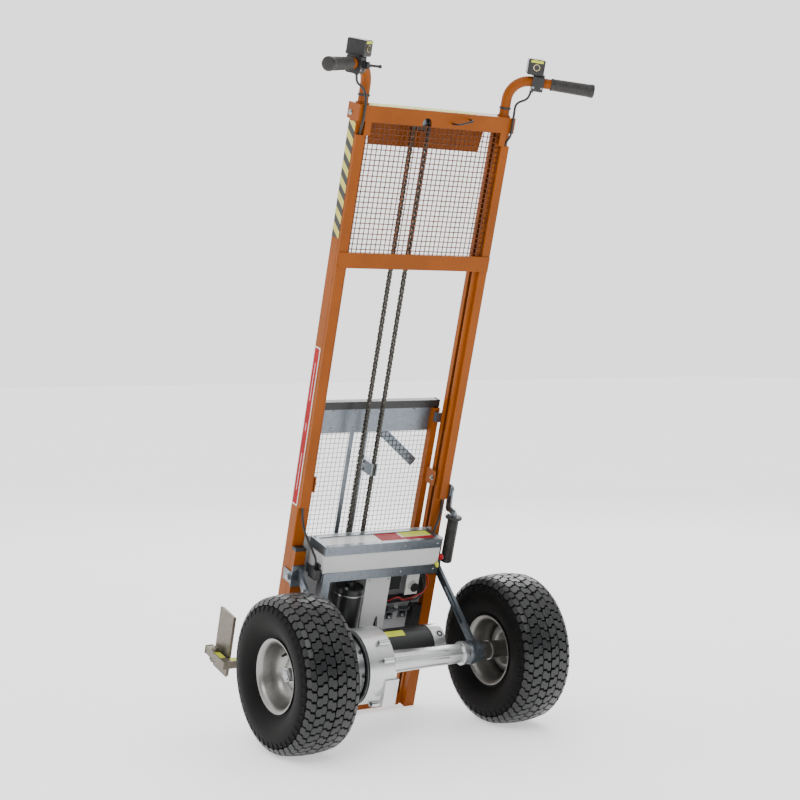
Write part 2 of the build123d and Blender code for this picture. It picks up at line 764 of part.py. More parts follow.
def clamp_sleeve():
    """The square sleeve across the foot of the carriage, for both clamp
    slides."""
    end = rail_inner - 1.5
    outer = block(-end, end, 309, tube_y + 12, tube_z - 12, tube_z + 12)
    return outer - block(-end - 1, end + 1, tube_y - 10.2, tube_y + 10.2, tube_z - 10.2, tube_z + 10.2)


def clamp_arm():
    """The right clamp slide: a square tube out of the sleeve, a corner, and a
    tube ahead with a plug."""
    x = pad_x + 15
    arm = block(75, x + 10, tube_y - 10, tube_y + 10, tube_z - 10, tube_z + 10)
    arm += block(x - 10, x + 10, tube_y, 411, tube_z - 10, tube_z + 10)
    plug = block(x - 11, x + 11, 411, 417, tube_z - 11, tube_z + 11)
    arm += fillet(plug.edges().group_by(Axis.Y)[-1], 4)
    return arm - rod((x, 380, tube_z - 12), (x, 380, tube_z + 12), 5.05)


def clamp_pad():
    """The right pad: a plate on a clevis round the tube, with its bolt and a
    rubber face."""
    x = pad_x + 15
    low = tube_z - 45
    plate = block(pad_x - 4, pad_x, 335, 408, low, low + pad_height)
    for z0 in (tube_z - 14, tube_z + 10.5):
        ear = block(pad_x - 1, x, 368, 392, z0, z0 + 3.5)
        ear += rod((x, 380, z0), (x, 380, z0 + 3.5), 12)
        plate += ear
    bolt = rod((x, 380, tube_z - 14), (x, 380, tube_z + 14), 5)
    bolt += rod((x, 380, tube_z + 14), (x, 380, tube_z + 20), 9)
    bolt += rod((x, 380, tube_z - 20), (x, 380, tube_z - 14), 9)
    rubber = block(pad_x - 9, pad_x - 4, 337, 406, low + 2, low + pad_height - 2)
    return [plate + bolt, rubber]


def both(shape):
    """A piece and its mirror image."""
    return [shape, other_side(shape)]


shapes = {}
shapes["rail_right"] = [rail()]
shapes["rail_left"] = [other_side(rail())]
shapes["cable_ducts"] = both(duct())
shapes["crosshead"] = [crosshead()]
shapes["head_plate"] = [head_plate()]
shapes["guard_bar"] = [guard_bar()]
shapes["guard_mesh"] = guard_mesh()
shapes["foot_posts"] = both(post())
shapes["post_caps"] = both(post_cap())
shapes["foot_crossbar"] = [block(-rail_inner, rail_inner, rail_rear + 2, rail_rear + 32, foot_z - 4, foot_z + 28)]
shapes["base_plate"] = [base_plate()]
shapes["lift_chain"] = [chain()]
shapes["top_sprocket"] = [top_sprocket()]
shapes["drive_sprocket"] = [drive_sprocket()]
shapes["lift_gearbox"] = [lift_gearbox()]
shapes["lift_motor"] = [lift_motor()]
shapes["battery_box"] = [battery_box()]
shapes["battery_lid"] = [battery_lid()]
shapes["box_frames"] = box_frames()
shapes["batteries"] = batteries()
shapes["drive_cover"] = [drive_cover()]
shapes["controller"] = controller()
shapes["charge_socket"] = charge_socket()
shapes["gear_housing"] = [gear_housing()]
shapes["axle_tube"] = [axle_tube()]
shapes["drive_motor"] = [drive_motor()]
shapes["drive_motor_cap"] = [drive_motor_cap()]
shapes["support_arms"] = both(support_arm())
shapes["axle_clamps"] = []
for piece in axle_clamp():
    shapes["axle_clamps"] += both(piece)
shapes["brackets_and_pins"] = [lever_bracket(), sprocket_pin()]
for piece in post_bracket():
    shapes["brackets_and_pins"] += both(piece)
shapes["handlebars"] = both(handlebar())
shapes["hand_grips"] = both(grip())
shapes["control_right"] = [control_right()]
shapes["control_left"] = [control_left()]
shapes["cables"] = cables()
shapes["button_right"] = [button()]
shapes["button_left"] = [other_side(button())]
shapes["thumb_lever"] = [thumb_lever()]
shapes["release_lever"] = [lever_bar()]
shapes["lever_grip"] = [lever_grip()]
at_wheel = Pos(half_track, 0, 0)
shapes["tyre_right"] = [at_wheel * tyre()]
shapes["rim_right"] = [at_wheel * rim()]
shapes["half_shaft_right"] = [half_shaft(gear_face - 16), at_wheel * wheel_nut()]
shapes["tyre_left"] = [other_side(at_wheel * tyre())]
shapes["rim_left"] = [other_side(at_wheel * rim())]
shapes["half_shaft_left"] = [other_side(half_shaft(18 - gear_face)), other_side(at_wheel * wheel_nut())]
shapes["carriage_frame"] = [carriage_frame()]
shapes["roller_lower_right"] = [roller(-100)]
shapes["roller_upper_right"] = [roller(377)]
shapes["roller_lower_left"] = [other_side(roller(-100))]
shapes["roller_upper_left"] = [other_side(roller(377))]
shapes["backrest_mesh"] = backrest_mesh()
shapes["backrest_top_bar"] = backrest_top_bar()
shapes["backrest_strips"] = backrest_strips()
shapes["carriage_fittings"] = [chain_anchor(), clamp_sleeve()]
shapes["clamp_arm_right"] = [clamp_arm()]
shapes["clamp_arm_left"] = [other_side(clamp_arm())]
shapes["clamp_pad_right"] = clamp_pad()
shapes["clamp_pad_left"] = [other_side(piece) for piece in clamp_pad()]

# lean the whole, set it on the ground and centre it on its bounding box
placed = {}
lowest = []
near = []
far = []
sides = []
for name, pieces in shapes.items():
    solids = []
    for piece in pieces:
        for solid in piece.solids():
            solids.append(Pos(0, 0, tyre_radius) * Rot(X=lean) * solid)
    placed[name] = solids
    for solid in solids:
        box = solid.bounding_box()
        lowest.append(box.min.Z)
        near.append(box.min.Y)
        far.append(box.max.Y)
        sides.append(box.max.X)
shift_y = -(min(near) + max(far)) / 2
shift_z = -min(lowest)
print("lowest", round(min(lowest), 3), "near", round(min(near), 3), "far", round(max(far), 3),
      "side", round(max(sides), 3), "shift", round(shift_y, 4), round(shift_z, 4))
for name, solids in placed.items():
    moved = [Pos(0, shift_y, shift_z) * solid for solid in solids]
    shape = moved[0] if len(moved) == 1 else Compound(children=moved)
    export_step(shape, "parts/" + name + ".step")
print("nodes", len(placed), "solids", sum(len(s) for s in placed.values()))
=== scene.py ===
"""Looks of the battery powered lift trolley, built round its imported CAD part.

Laid out as an add-on: sizes live in a property group, one operator builds each
piece or group of like pieces, and a panel lists them. Places are given in the
frame of the mast, in millimetres: X right, Y ahead, Z up the mast, origin on the
wheel axis."""
import math

import bpy
import mathutils
import numpy as np
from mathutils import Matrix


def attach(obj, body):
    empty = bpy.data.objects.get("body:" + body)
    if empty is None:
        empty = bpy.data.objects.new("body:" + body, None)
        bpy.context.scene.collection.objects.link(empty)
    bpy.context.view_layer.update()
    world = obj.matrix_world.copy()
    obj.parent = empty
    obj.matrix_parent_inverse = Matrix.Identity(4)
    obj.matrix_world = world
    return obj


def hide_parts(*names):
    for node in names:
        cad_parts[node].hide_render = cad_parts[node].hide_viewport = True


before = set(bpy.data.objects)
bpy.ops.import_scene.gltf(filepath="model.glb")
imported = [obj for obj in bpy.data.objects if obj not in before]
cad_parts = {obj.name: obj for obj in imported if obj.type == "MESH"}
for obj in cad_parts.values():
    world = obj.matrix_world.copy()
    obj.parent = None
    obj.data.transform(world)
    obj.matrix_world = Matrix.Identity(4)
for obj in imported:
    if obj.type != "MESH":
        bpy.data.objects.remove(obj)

bl_info = {
    "name": "Lift trolley looks",
    "version": (1, 0, 0),
    "blender": (4, 5, 0),
    "location": "View3D > Sidebar > Trolley",
    "description": "Builds the visible pieces of a powered lift trolley round its CAD frame",
    "category": "Add Mesh",
}


class TrolleyMastSizes(bpy.types.PropertyGroup):
    """Where the mast stands and what is strung in it."""
    lean: bpy.props.FloatProperty(
        name="Lean", description="Angle of the mast from upright", default=math.radians(16.5),
        unit="ROTATION")
    shift: bpy.props.FloatProperty(
        name="Shift", description="Row frame Y of the wheel axis, mm", default=-82.8343)
    wire: bpy.props.FloatProperty(
        name="Wire radius", description="Radius of the guard's wires, mm", default=1.2, min=0.3)
    guard_columns: bpy.props.IntProperty(
        name="Guard columns", description="Upright wires of the chain guard", default=31, min=2)
    guard_rows: bpy.props.IntProperty(
        name="Guard rows", description="Cross wires of the chain guard", default=25, min=2)
    chain_pitch: bpy.props.FloatProperty(
        name="Chain pitch", description="Distance between two chain pins, mm", default=9.525, min=4)


class TrolleyWheelSizes(bpy.types.PropertyGroup):
    """Sizes of the wheels."""
    radius: bpy.props.FloatProperty(
        name="Tyre radius", description="Radius over the tread, mm", default=190.5, min=50)
    width: bpy.props.FloatProperty(
        name="Tyre width", description="Width over the sidewalls, mm", default=152, min=20)
    track: bpy.props.FloatProperty(
        name="Track", description="Distance between the wheels' middles, mm", default=620, min=100)
    lugs: bpy.props.IntProperty(
        name="Lugs", description="Tread blocks round the tyre in one row", default=46, min=8)
    lug_depth: bpy.props.FloatProperty(
        name="Lug depth", description="Depth of the tread grooves, mm", default=7.5, min=1)


class TrolleyLook(bpy.types.PropertyGroup):
    """Paint, light and view."""
    key: bpy.props.FloatProperty(
        name="Key light", description="Power of the large light, W", default=90, min=0)
    sky: bpy.props.FloatProperty(
        name="Surround", description="Strength of the pale surround", default=1.9, min=0)
    paint: bpy.props.StringProperty(
        name="Paint", description="Colour of the powder coat, sRGB hex", default="8e4700")
    paint_shade: bpy.props.StringProperty(
        name="Paint shade", description="Darker drift of the powder coat, sRGB hex", default="824100")
    lens: bpy.props.FloatProperty(
        name="Lens", description="Focal length on a 36 mm sensor, mm", default=76.5, min=10)


def mast_sizes():
    """The mast's settings."""
    return bpy.context.scene.trolley_mast


def wheel_sizes():
    """The wheels' settings."""
    return bpy.context.scene.trolley_wheels


def place(points):
    """Mast frame millimetres to row frame metres: turned about X by the lean, then
    moved to the wheel axis."""
    p = np.asarray(points, float).reshape(-1, 3)
    s = mast_sizes()
    c = math.cos(s.lean)
    n = math.sin(s.lean)
    out = p.copy()
    out[:, 1] = p[:, 1] * c - p[:, 2] * n + s.shift
    out[:, 2] = p[:, 1] * n + p[:, 2] * c + wheel_sizes().radius
    return out / 1000


# Mesh making

class Shell:
    """Gathers surfaces in mast millimetres and turns them into one object."""

    def __init__(self):
        self.points = []
        self.faces = []
        self.marks = []
        self.flat = []
        self.count = 0

    def add(self, points, faces, mark=0, flat=None):
        """A surface from points, faces, its material number and flat coordinates."""
        points = np.asarray(points, float).reshape(-1, 3)
        start = self.count
        self.points.append(points)
        self.faces.extend([tuple(int(i) + start for i in face) for face in faces])
        self.marks.extend([mark] * len(faces))
        self.flat.append(np.zeros((len(points), 2)) if flat is None else np.asarray(flat, float))
        self.count += len(points)

    def make(self, name, materials, body, replaced=(), crease=34):
        """One object at the origin that rides on a body."""
        points = place(np.vstack(self.points))
        mesh = bpy.data.meshes.new(name)
        mesh.from_pydata(points.tolist(), [], self.faces)
        mesh.validate()
        mesh.update()
        for material in materials:
            mesh.materials.append(material)
        if len(mesh.polygons) == len(self.marks):
            mesh.polygons.foreach_set("material_index", np.array(self.marks, np.int32))
        mesh.polygons.foreach_set("use_smooth", np.ones(len(mesh.polygons), bool))
        mesh.set_sharp_from_angle(angle=math.radians(crease))
        flat = np.vstack(self.flat)
        layer = mesh.uv_layers.new(name="UVMap")
        index = np.empty(len(mesh.loops), np.int32)
        mesh.loops.foreach_get("vertex_index", index)
        layer.data.foreach_set("uv", flat[index].astype(np.float32).ravel())
        obj = bpy.data.objects.new(name, mesh)
        bpy.context.scene.collection.objects.link(obj)
        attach(obj, body)
        if replaced:
            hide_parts(*replaced)


def frame_of(axis):
    """An axis of length one and two directions square to it and to each other."""
    a = np.asarray(axis, float)
    a = a / np.linalg.norm(a)
    side = np.array([0.0, 0.0, 1.0]) if abs(a[2]) < 0.9 else np.array([0.0, 1.0, 0.0])
    u = np.cross(side, a)
    u /= np.linalg.norm(u)
    return a, u, np.cross(a, u)


def grid_faces(rows, columns, wrap_rows=False, wrap_columns=False):
    """Quads of a grid of points numbered row by row."""
    faces = []
    for i in range(rows if wrap_rows else rows - 1):
        for j in range(columns if wrap_columns else columns - 1):
            a = i * columns + j
            b = i * columns + (j + 1) % columns
            c = ((i + 1) % rows) * columns + (j + 1) % columns
            d = ((i + 1) % rows) * columns + j
            faces.append((a, b, c, d))
    return faces


def lathe(shell, origin, axis, profile, sides=32, closed=False, mark=0):
    """Turns a profile of (distance along the axis, radius) once round the axis:
    point = origin + axis times distance + radius times (cosine, sine) of the turn.
    An open profile starts and ends on the axis, a closed one is a ring."""
    along, u, v = frame_of(axis)
    prof = np.asarray(profile, float)
    turn = np.arange(sides) * 2 * math.pi / sides
    ring = np.outer(np.cos(turn), u) + np.outer(np.sin(turn), v)
    points = np.asarray(origin, float) + prof[:, 0, None, None] * along + prof[:, 1, None, None] * ring[None]
    quads = grid_faces(len(prof), sides, wrap_rows=closed, wrap_columns=True)
    faces = [(b, c, d, a) for a, b, c, d in quads]
    if not closed:
        last = (len(prof) - 1) * sides
        faces.append(tuple(range(sides - 1, -1, -1)))
        faces.append(tuple(range(last, last + sides)))
    area = sum(prof[i - 1, 0] * prof[i, 1] - prof[i, 0] * prof[i - 1, 1] for i in range(len(prof)))
    backward = area > 0 if closed else prof[-1, 0] < prof[0, 0]
    if backward:
        faces = [f[::-1] for f in faces]
    flat = np.zeros((len(prof) * sides, 2))
    flat[:, 0] = np.tile(turn, len(prof)) * 10
    flat[:, 1] = np.repeat(prof[:, 0], sides)
    shell.add(points.reshape(-1, 3), faces, mark, flat)


def run_tube(shell, path, radius, sides=8, mark=0):
    """A round section of one radius carried along a path without twist, with
    flat ends."""
    path = np.asarray(path, float)
    heading = np.gradient(path, axis=0)
    heading /= np.linalg.norm(heading, axis=1)[:, None]
    _, u, _ = frame_of(heading[0])
    rings = []
    turn = np.arange(sides) * 2 * math.pi / sides
    for point, t in zip(path, heading):
        u = u - t * (u @ t)
        u /= np.linalg.norm(u)
        w = np.cross(t, u)
        rings.append(point + radius * (np.outer(np.cos(turn), u) + np.outer(np.sin(turn), w)))
    faces = grid_faces(len(path), sides, wrap_columns=True)
    last = (len(path) - 1) * sides
    faces.append(tuple(range(sides - 1, -1, -1)))
    faces.append(tuple(range(last, last + sides)))
    shell.add(np.vstack(rings), faces, mark)


def slab(shell, origin, u, v, outline, thick, edge=0.0, mark=0):
    """An outline in the plane of u and v raised by a thickness along u x v, with
    its upper edge drawn in by a small bevel."""
    u = np.asarray(u, float)
    v = np.asarray(v, float)
    n = np.cross(u, v)
    out = np.asarray(outline, float)
    count = len(out)
    area = sum(out[i - 1, 0] * out[i, 1] - out[i, 0] * out[i - 1, 1] for i in range(count))
    if area < 0:
        out = out[::-1]
    ahead = np.roll(out, -1, 0) - out
    behind = out - np.roll(out, 1, 0)
    ahead /= np.linalg.norm(ahead, axis=1)[:, None]
    behind /= np.linalg.norm(behind, axis=1)[:, None]
    inward = np.stack([-(ahead + behind)[:, 1], (ahead + behind)[:, 0]], 1)
    inward /= np.linalg.norm(inward, axis=1)[:, None]
    inner = out + inward * edge * 1.3
    layers = [(out, 0.0), (out, thick - edge), (inner, thick)] if edge else [(out, 0.0), (out, thick)]
    points = []
    flat = []
    for ring, height in layers:
        points.append(np.asarray(origin, float) + ring[:, :1] * u + ring[:, 1:] * v + height * n)
        flat.append(ring)
    faces = grid_faces(len(layers), count, wrap_columns=True)
    faces.append(tuple(range(count - 1, -1, -1)))
    last = (len(layers) - 1) * count
    faces.append(tuple(range(last, last + count)))
    shell.add(np.vstack(points), faces, mark, np.vstack(flat))


def rounded(width, height, radius, steps=4):
    """The outline of a rectangle with round corners, about its middle."""
    points = []
    for cx, cy, start in ((1, 1, 0), (-1, 1, 90), (-1, -1, 180), (1, -1, 270)):
        for k in range(steps + 1):
            a = math.radians(start + 90 * k / steps)
            points.append((cx * (width / 2 - radius) + radius * math.cos(a),
                           cy * (height / 2 - radius) + radius * math.sin(a)))
    return points


def hex_head(shell, origin, axis, across, height, mark=0):
    """A six sided head with a chamfered crown on a thin round washer."""
    a, u, v = frame_of(axis)
    origin = np.asarray(origin, float)
    washer = [(0, across * 0.78), (1.1, across * 0.78), (1.3, across * 0.72)]
    lathe(shell, origin, axis, washer, 20, mark=mark)
    corner = np.radians(60 * np.arange(6))
    outline = across / 1.732 * np.stack([np.cos(corner), np.sin(corner)], 1)
    slab(shell, origin + 1.3 * a, u, v, outline, height, 0.14 * across, mark)


def cap_screw(shell, origin, axis, radius, height, mark=0):
    """A round head with a hollow socket: out, up, in and down into the socket."""
    profile = [(0, radius), (height * 0.8, radius), (height, radius * 0.85), (height, radius * 0.5),
               (height * 0.45, radius * 0.45)]
    lathe(shell, origin, axis, profile, 16, mark=mark)


def arc3(a, b, c, count):
    """Points on the circle through three points of a plane."""
    ax, ay = a
    bx, by = b
    cx, cy = c
    d = 2 * (ax * (by - cy) + bx * (cy - ay) + cx * (ay - by))
    a2 = ax ** 2 + ay ** 2
    b2 = bx ** 2 + by ** 2
    c2 = cx ** 2 + cy ** 2
    ux = (a2 * (by - cy) + b2 * (cy - ay) + c2 * (ay - by)) / d
    uy = (a2 * (cx - bx) + b2 * (ax - cx) + c2 * (bx - ax)) / d
    r = math.hypot(ax - ux, ay - uy)
    t0 = math.atan2(ay - uy, ax - ux)
    t1 = math.atan2(by - uy, bx - ux)
    t2 = math.atan2(cy - uy, cx - ux)
    while t1 < t0:
        t1 += 2 * math.pi
    while t2 < t0:
        t2 += 2 * math.pi
    if t1 > t2:
        t2 -= 2 * math.pi
    return [(ux + r * math.cos(t), uy + r * math.sin(t)) for t in np.linspace(t0, t2, count)]


# Materials

def linear(code):
    """A colour written as six hex digits, in linear light."""
    out = []
    for i in (0, 2, 4):
        c = int(code[i:i + 2], 16) / 255
        out.append(c / 12.92 if c <= 0.04045 else ((c + 0.055) / 1.055) ** 2.4)
    return (out[0], out[1], out[2], 1.0)


def add_node(tree, kind, links=(), **values):
    """A node with its settings, its socket values and its incoming links."""
    node = tree.nodes.new(kind)
    for key, value in values.items():
        if hasattr(node, key):
            setattr(node, key, value)
        else:
            node.inputs[key.replace("_", " ")].default_value = value
    for socket, source in links:
        tree.links.new(source, node.inputs[socket])
    return node


def surface(name, colour, second, rough, metal=0.0, mottle=30.0, grain=2.0, bump=0.0, coat=0.0, spread=0.08,
            share=(0.42, 0.62), specular=0.5):
    """A material from two noises in object space. The coarse one, mottle mm across, drifts between two
    colours over the stretch of its values in share. The fine one, grain mm across, moves the roughness by
    spread and lifts the surface by bump mm."""
    mat = bpy.data.materials.new(name)
    mat.use_nodes = True
    tree = mat.node_tree
    tree.nodes.clear()
    coord = add_node(tree, "ShaderNodeTexCoord")
    at = ("Vector", coord.outputs["Object"])
    coarse = add_node(tree, "ShaderNodeTexNoise", [at], Scale=1000 / mottle, Detail=4.0, Roughness=0.6)
    fine = add_node(tree, "ShaderNodeTexNoise", [at], Scale=1000 / grain, Detail=2.0, Roughness=0.5)
    ramp = add_node(tree, "ShaderNodeMapRange", [("Value", coarse.outputs["Fac"])])
    ramp.inputs["From Min"].default_value = share[0]
    ramp.inputs["From Max"].default_value = share[1]
    mix = add_node(tree, "ShaderNodeMix", [("Factor", ramp.outputs[0])], data_type="RGBA")
    mix.inputs[6].default_value = linear(colour)
    mix.inputs[7].default_value = linear(second)
    worn = add_node(tree, "ShaderNodeMapRange", [("Value", fine.outputs["Fac"])])
    worn.inputs["To Min"].default_value = max(rough - spread, 0.03)
    worn.inputs["To Max"].default_value = min(rough + spread, 1.0)
    shader = add_node(tree, "ShaderNodeBsdfPrincipled",
                      [("Base Color", mix.outputs[2]), ("Roughness", worn.outputs[0])])
    shader.inputs["Metallic"].default_value = metal
    shader.inputs["Coat Weight"].default_value = coat
    shader.inputs["Coat Roughness"].default_value = 0.12
    shader.inputs["Specular IOR Level"].default_value = specular
    if bump:
        lift = add_node(tree, "ShaderNodeBump", [("Height", fine.outputs["Fac"])], Strength=1.0,
                        Distance=bump / 1000)
        tree.links.new(lift.outputs[0], shader.inputs["Normal"])
    add_node(tree, "ShaderNodeOutputMaterial", [("Surface", shader.outputs[0])])
    return mat


def stripes(name, first, second, width, angle, rough):
    """Bands of two colours across the flat coordinates of a piece, width mm wide
    and turned by an angle."""
    mat = bpy.data.materials.new(name)
    mat.use_nodes = True
    tree = mat.node_tree
    tree.nodes.clear()
    coord = add_node(tree, "ShaderNodeTexCoord")
    turned = add_node(tree, "ShaderNodeMapping", [("Vector", coord.outputs["UV"])])
    turned.inputs["Rotation"].default_value = (0, 0, angle)
    split = add_node(tree, "ShaderNodeSeparateXYZ", [("Vector", turned.outputs[0])])
    scaled = add_node(tree, "ShaderNodeMath", [(0, split.outputs[0])], operation="DIVIDE")
    scaled.inputs[1].default_value = 2 * width
    part = add_node(tree, "ShaderNodeMath", [(0, scaled.outputs[0])], operation="FRACT")
    side = add_node(tree, "ShaderNodeMath", [(0, part.outputs[0])], operation="GREATER_THAN")
    side.inputs[1].default_value = 0.5
    mix = add_node(tree, "ShaderNodeMix", [("Factor", side.outputs[0])], data_type="RGBA")
    mix.inputs[6].default_value = linear(first)
    mix.inputs[7].default_value = linear(second)
    shader = add_node(tree, "ShaderNodeBsdfPrincipled", [("Base Color", mix.outputs[2])], Roughness=rough)
    add_node(tree, "ShaderNodeOutputMaterial", [("Surface", shader.outputs[0])])
    return mat


RECIPES = {
    # deep orange gloss with the faint pebble of baked powder; its colours come from
    # the settings
    "orange": dict(name="powder coated steel, orange, baked gloss", rough=0.4, mottle=220, grain=1.6,
                   bump=0.015, coat=0.03, spread=0.06, specular=0.16),
    # browner, thicker coat that pools in welded wire
    "orange_wire": dict(name="powder coated wire, orange", colour="6a3307", second="502606", rough=0.45,
                        mottle=40, grain=1.5, bump=0.02, specular=0.3),
    # soft patchy grey with a cold sheen, as zinc takes on a mild steel sheet
    "zinc": dict(name="zinc plated steel sheet, pressed", colour="767d84", second="6e757b", rough=0.33,
                 metal=0.9, mottle=9, grain=2, bump=0.006, spread=0.1),
    # dull warm grey of a chromated part that has been handled
    "chromated": dict(name="chromated steel, dulled by handling", colour="746e63", second="69645a",
                      rough=0.45, metal=0.75, mottle=12, grain=1.5, bump=0.006),
    # thin drawn wire, kept darker so that it shows against the pale floor
    "zinc_wire": dict(name="zinc plated wire, drawn", colour="7d8284", second="64696b", rough=0.32,
                      metal=0.6, mottle=12, grain=2, spread=0.1),
    # pale flat grey, slightly chalky
    "grey_paint": dict(name="stove enamelled sheet, light grey", colour="cdcecd", second="c6c7c7",
                       rough=0.42, mottle=120, grain=2, bump=0.01, coat=0.1),
    # even mid grey, duller than the box, so that it sits back
    "plate_grey": dict(name="stove enamelled plate, mid grey", colour="9c9d9e", second="929394",
                       rough=0.5, mottle=90, grain=2, bump=0.01),
    # darker blue grey of blackened steel arms
    "dark_steel": dict(name="blackened steel flat, cold drawn", colour="6a7178", second="5c6369",
                       rough=0.34, metal=0.8, mottle=8, grain=1.5, bump=0.006, spread=0.1),
    # dull silver with the grain of the sand mould
    "cast": dict(name="cast aluminium, shot blasted", colour="d3d4d5", second="c6c7c8", rough=0.32,
                 metal=0.95, mottle=60, grain=1.0, bump=0.03, spread=0.07),
    # dark, oily grey with a rough skin
    "cast_dark": dict(name="cast iron, oiled", colour="5a5c5d", second="47494a", rough=0.45, metal=0.7,
                      mottle=30, grain=1.4, bump=0.06),
    # black can with a soft sheen
    "can": dict(name="black enamel on a drawn steel can", colour="101112", second="151617", rough=0.4,
                mottle=60, grain=3, bump=0.005, coat=0.15),
    # silver lacquer over pressed steel
    "rim": dict(name="silver lacquered steel, pressed", colour="93928f", second="8b8a87", rough=0.36,
                metal=0.95, mottle=50, grain=1.2, bump=0.006, coat=0.2, spread=0.03),
    # bright clean steel that mirrors the lights
    "turned": dict(name="turned steel, lightly oiled", colour="a2a4a5", second="8c8e90", rough=0.28,
                   metal=1.0, mottle=10, grain=0.8, bump=0.005),
    # almost black steel with an oily catch of light
    "chain": dict(name="chain steel, oiled, worn on the plates", colour="3b3935", second="55514a",
                  rough=0.42, metal=0.8, mottle=7, grain=1, bump=0.02, share=(0.45, 0.7)),
    # grey black tread dulled by dust
    "tread": dict(name="tread rubber, moulded, dusty", colour="17181a", second="0f1011", rough=0.36,
                  mottle=14, grain=0.8, bump=0.04, spread=0.12, share=(0.35, 0.65)),
    # blacker, warmer sidewall
    "sidewall": dict(name="sidewall rubber, moulded smooth", colour="090808", second="0c0b0a",
                     rough=0.6, mottle=60, grain=0.8, bump=0.02, spread=0.06, specular=0.12),
    # deep groove rubber, near black as painted shade for the shadow in the grooves
    "groove": dict(name="groove rubber, matt, painted shade", colour="070707", second="0a0a0a", rough=0.85, mottle=20,
                   grain=1, specular=0.15),
    # soft matt black, a little brown
    "grip": dict(name="grip rubber, moulded", colour="26221f", second="1d1a18", rough=0.52, mottle=20,
                 grain=0.8, bump=0.03),
    # deep black with the fine bloom of a spark finish
    "plastic": dict(name="black nylon, moulded, fine spark finish", colour="121213", second="1a1a1b",
                    rough=0.4, mottle=15, grain=0.7, bump=0.02),
    # soft black with a narrow highlight along the cable
    "sheath": dict(name="cable sheath, extruded soft plastic", colour="0f0f10", second="171718",
                   rough=0.38, mottle=12, grain=2),
    # strong red with the same narrow highlight
    "red_lead": dict(name="wire sheath, red, extruded", colour="a8161a", second="8e1014", rough=0.4,
                     mottle=15, grain=2),
    # clean opaque white with a soft sheen
    "white": dict(name="white nylon, moulded", colour="dcdcd8", second="cfcfcb", rough=0.45, mottle=15,
                  grain=1),
    # bright greenish yellow film with a satin face
    "yellow": dict(name="printed film, yellow", colour="c9cf45", second="bcc23e", rough=0.5, mottle=40,
                   grain=2, specular=0.12),
    # flat deep red, barely shiny
    "red": dict(name="printed film, red", colour="a3161e", second="961018", rough=0.5, mottle=40,
                grain=2, specular=0.12),
    # flat off white, barely shiny
    "print": dict(name="printed film, white", colour="dcd8d6", second="cfcbc9", rough=0.45, mottle=40,
                  grain=2),
    # dark grey without shine
    "case": dict(name="sealed case, moulded grey", colour="3b3d40", second="323437", rough=0.5,
                 mottle=25, grain=1, bump=0.02),
    # pale warm metal with a crisp highlight
    "brass": dict(name="nickelled brass, turned", colour="b8ad8c", second="a39876", rough=0.3,
                  metal=0.9, mottle=8, grain=1),
    # black button cap, shinier than its housing
    "button": dict(name="black acetal, polished button cap", colour="141415", second="1a1a1b",
                   rough=0.25, mottle=10, grain=2),
}
FINISHES_MADE = {}


def finish_of(name):
    """The named finish, made once. The paint takes its colours from the settings."""
    if name not in FINISHES_MADE:
        if name == "hazard":
            FINISHES_MADE[name] = stripes("printed tape, black and yellow bands", "15140f", "c2ba4c", 15.0,
                                          math.radians(35), 0.42)
        else:
            values = dict(RECIPES[name])
            if name == "orange":
                look = bpy.context.scene.trolley_look
                values.update(colour=look.paint, second=look.paint_shade)
            FINISHES_MADE[name] = surface(**values)
    return FINISHES_MADE[name]


# Wheels

def tyre_outline():
    """Half the tyre's outer line, from the middle of the tread down one sidewall
    to the bead: lateral distance along it, x, radius and outward normal. The crown
    falls by the square of x, and two arcs make the shoulder and the sidewall."""
    s = wheel_sizes()
    r = s.radius
    w = s.width / 2
    rim = RIM_RADIUS
    points = [(x, r - 4.5 * (x / (w - 24)) ** 2) for x in np.linspace(0, w - 24, 12)]
    points += arc3((w - 24, r - 4.5), (w - 14, r - 8), (w - 8, r - 17), 8)[1:]
    points += arc3((w - 8, r - 17), (w, (r + rim) / 2 - 6), (55.9, rim + 6), 22)[1:]
    points += [(55.6, rim + 1), (54.5, rim - 8)]
    p = np.array(points)
    step = np.linalg.norm(np.diff(p, axis=0), axis=1)
    along = np.concatenate([[0], np.cumsum(step)])
    heading = np.gradient(p, axis=0)
    heading /= np.linalg.norm(heading, axis=1)[:, None]
    normal = np.stack([-heading[:, 1], heading[:, 0]], 1)
    normal *= np.sign((normal * np.array([1.0, 1.0])).sum(1))[:, None]
    return along, p, normal


def on_tyre(lateral, turn, depth, centre, outline):
    """Points on the tyre from lateral distance, angle round the axle and depth: the
    outline's point at that distance, moved against its normal by the depth and
    turned round the axle."""
    along, p, normal = outline
    side = np.sign(lateral) + (lateral == 0)
    u = np.abs(lateral)
    x = np.interp(u, along, p[:, 0]) - depth * np.interp(u, along, normal[:, 0])
    r = np.interp(u, along, p[:, 1]) - depth * np.interp(u, along, normal[:, 1])
    return np.stack([centre + side * x, r * np.sin(turn), r * np.cos(turn)], -1)


# Bead seat of the wheel, mm
RIM_RADIUS = 89.0
# Gap round a tread block and how far its two halves are stepped, mm
LUG_GAP = 2.2
LUG_SKEW = 3.1
# Middle and width of each row of blocks on one side, mm, its start in pitches and
# which way its blocks step
TREAD_ROWS = ((12.8, 20.5, 0.0, 1), (38.4, 23.4, 0.5, -1), (65.6, 24.0, 0.0, 1))


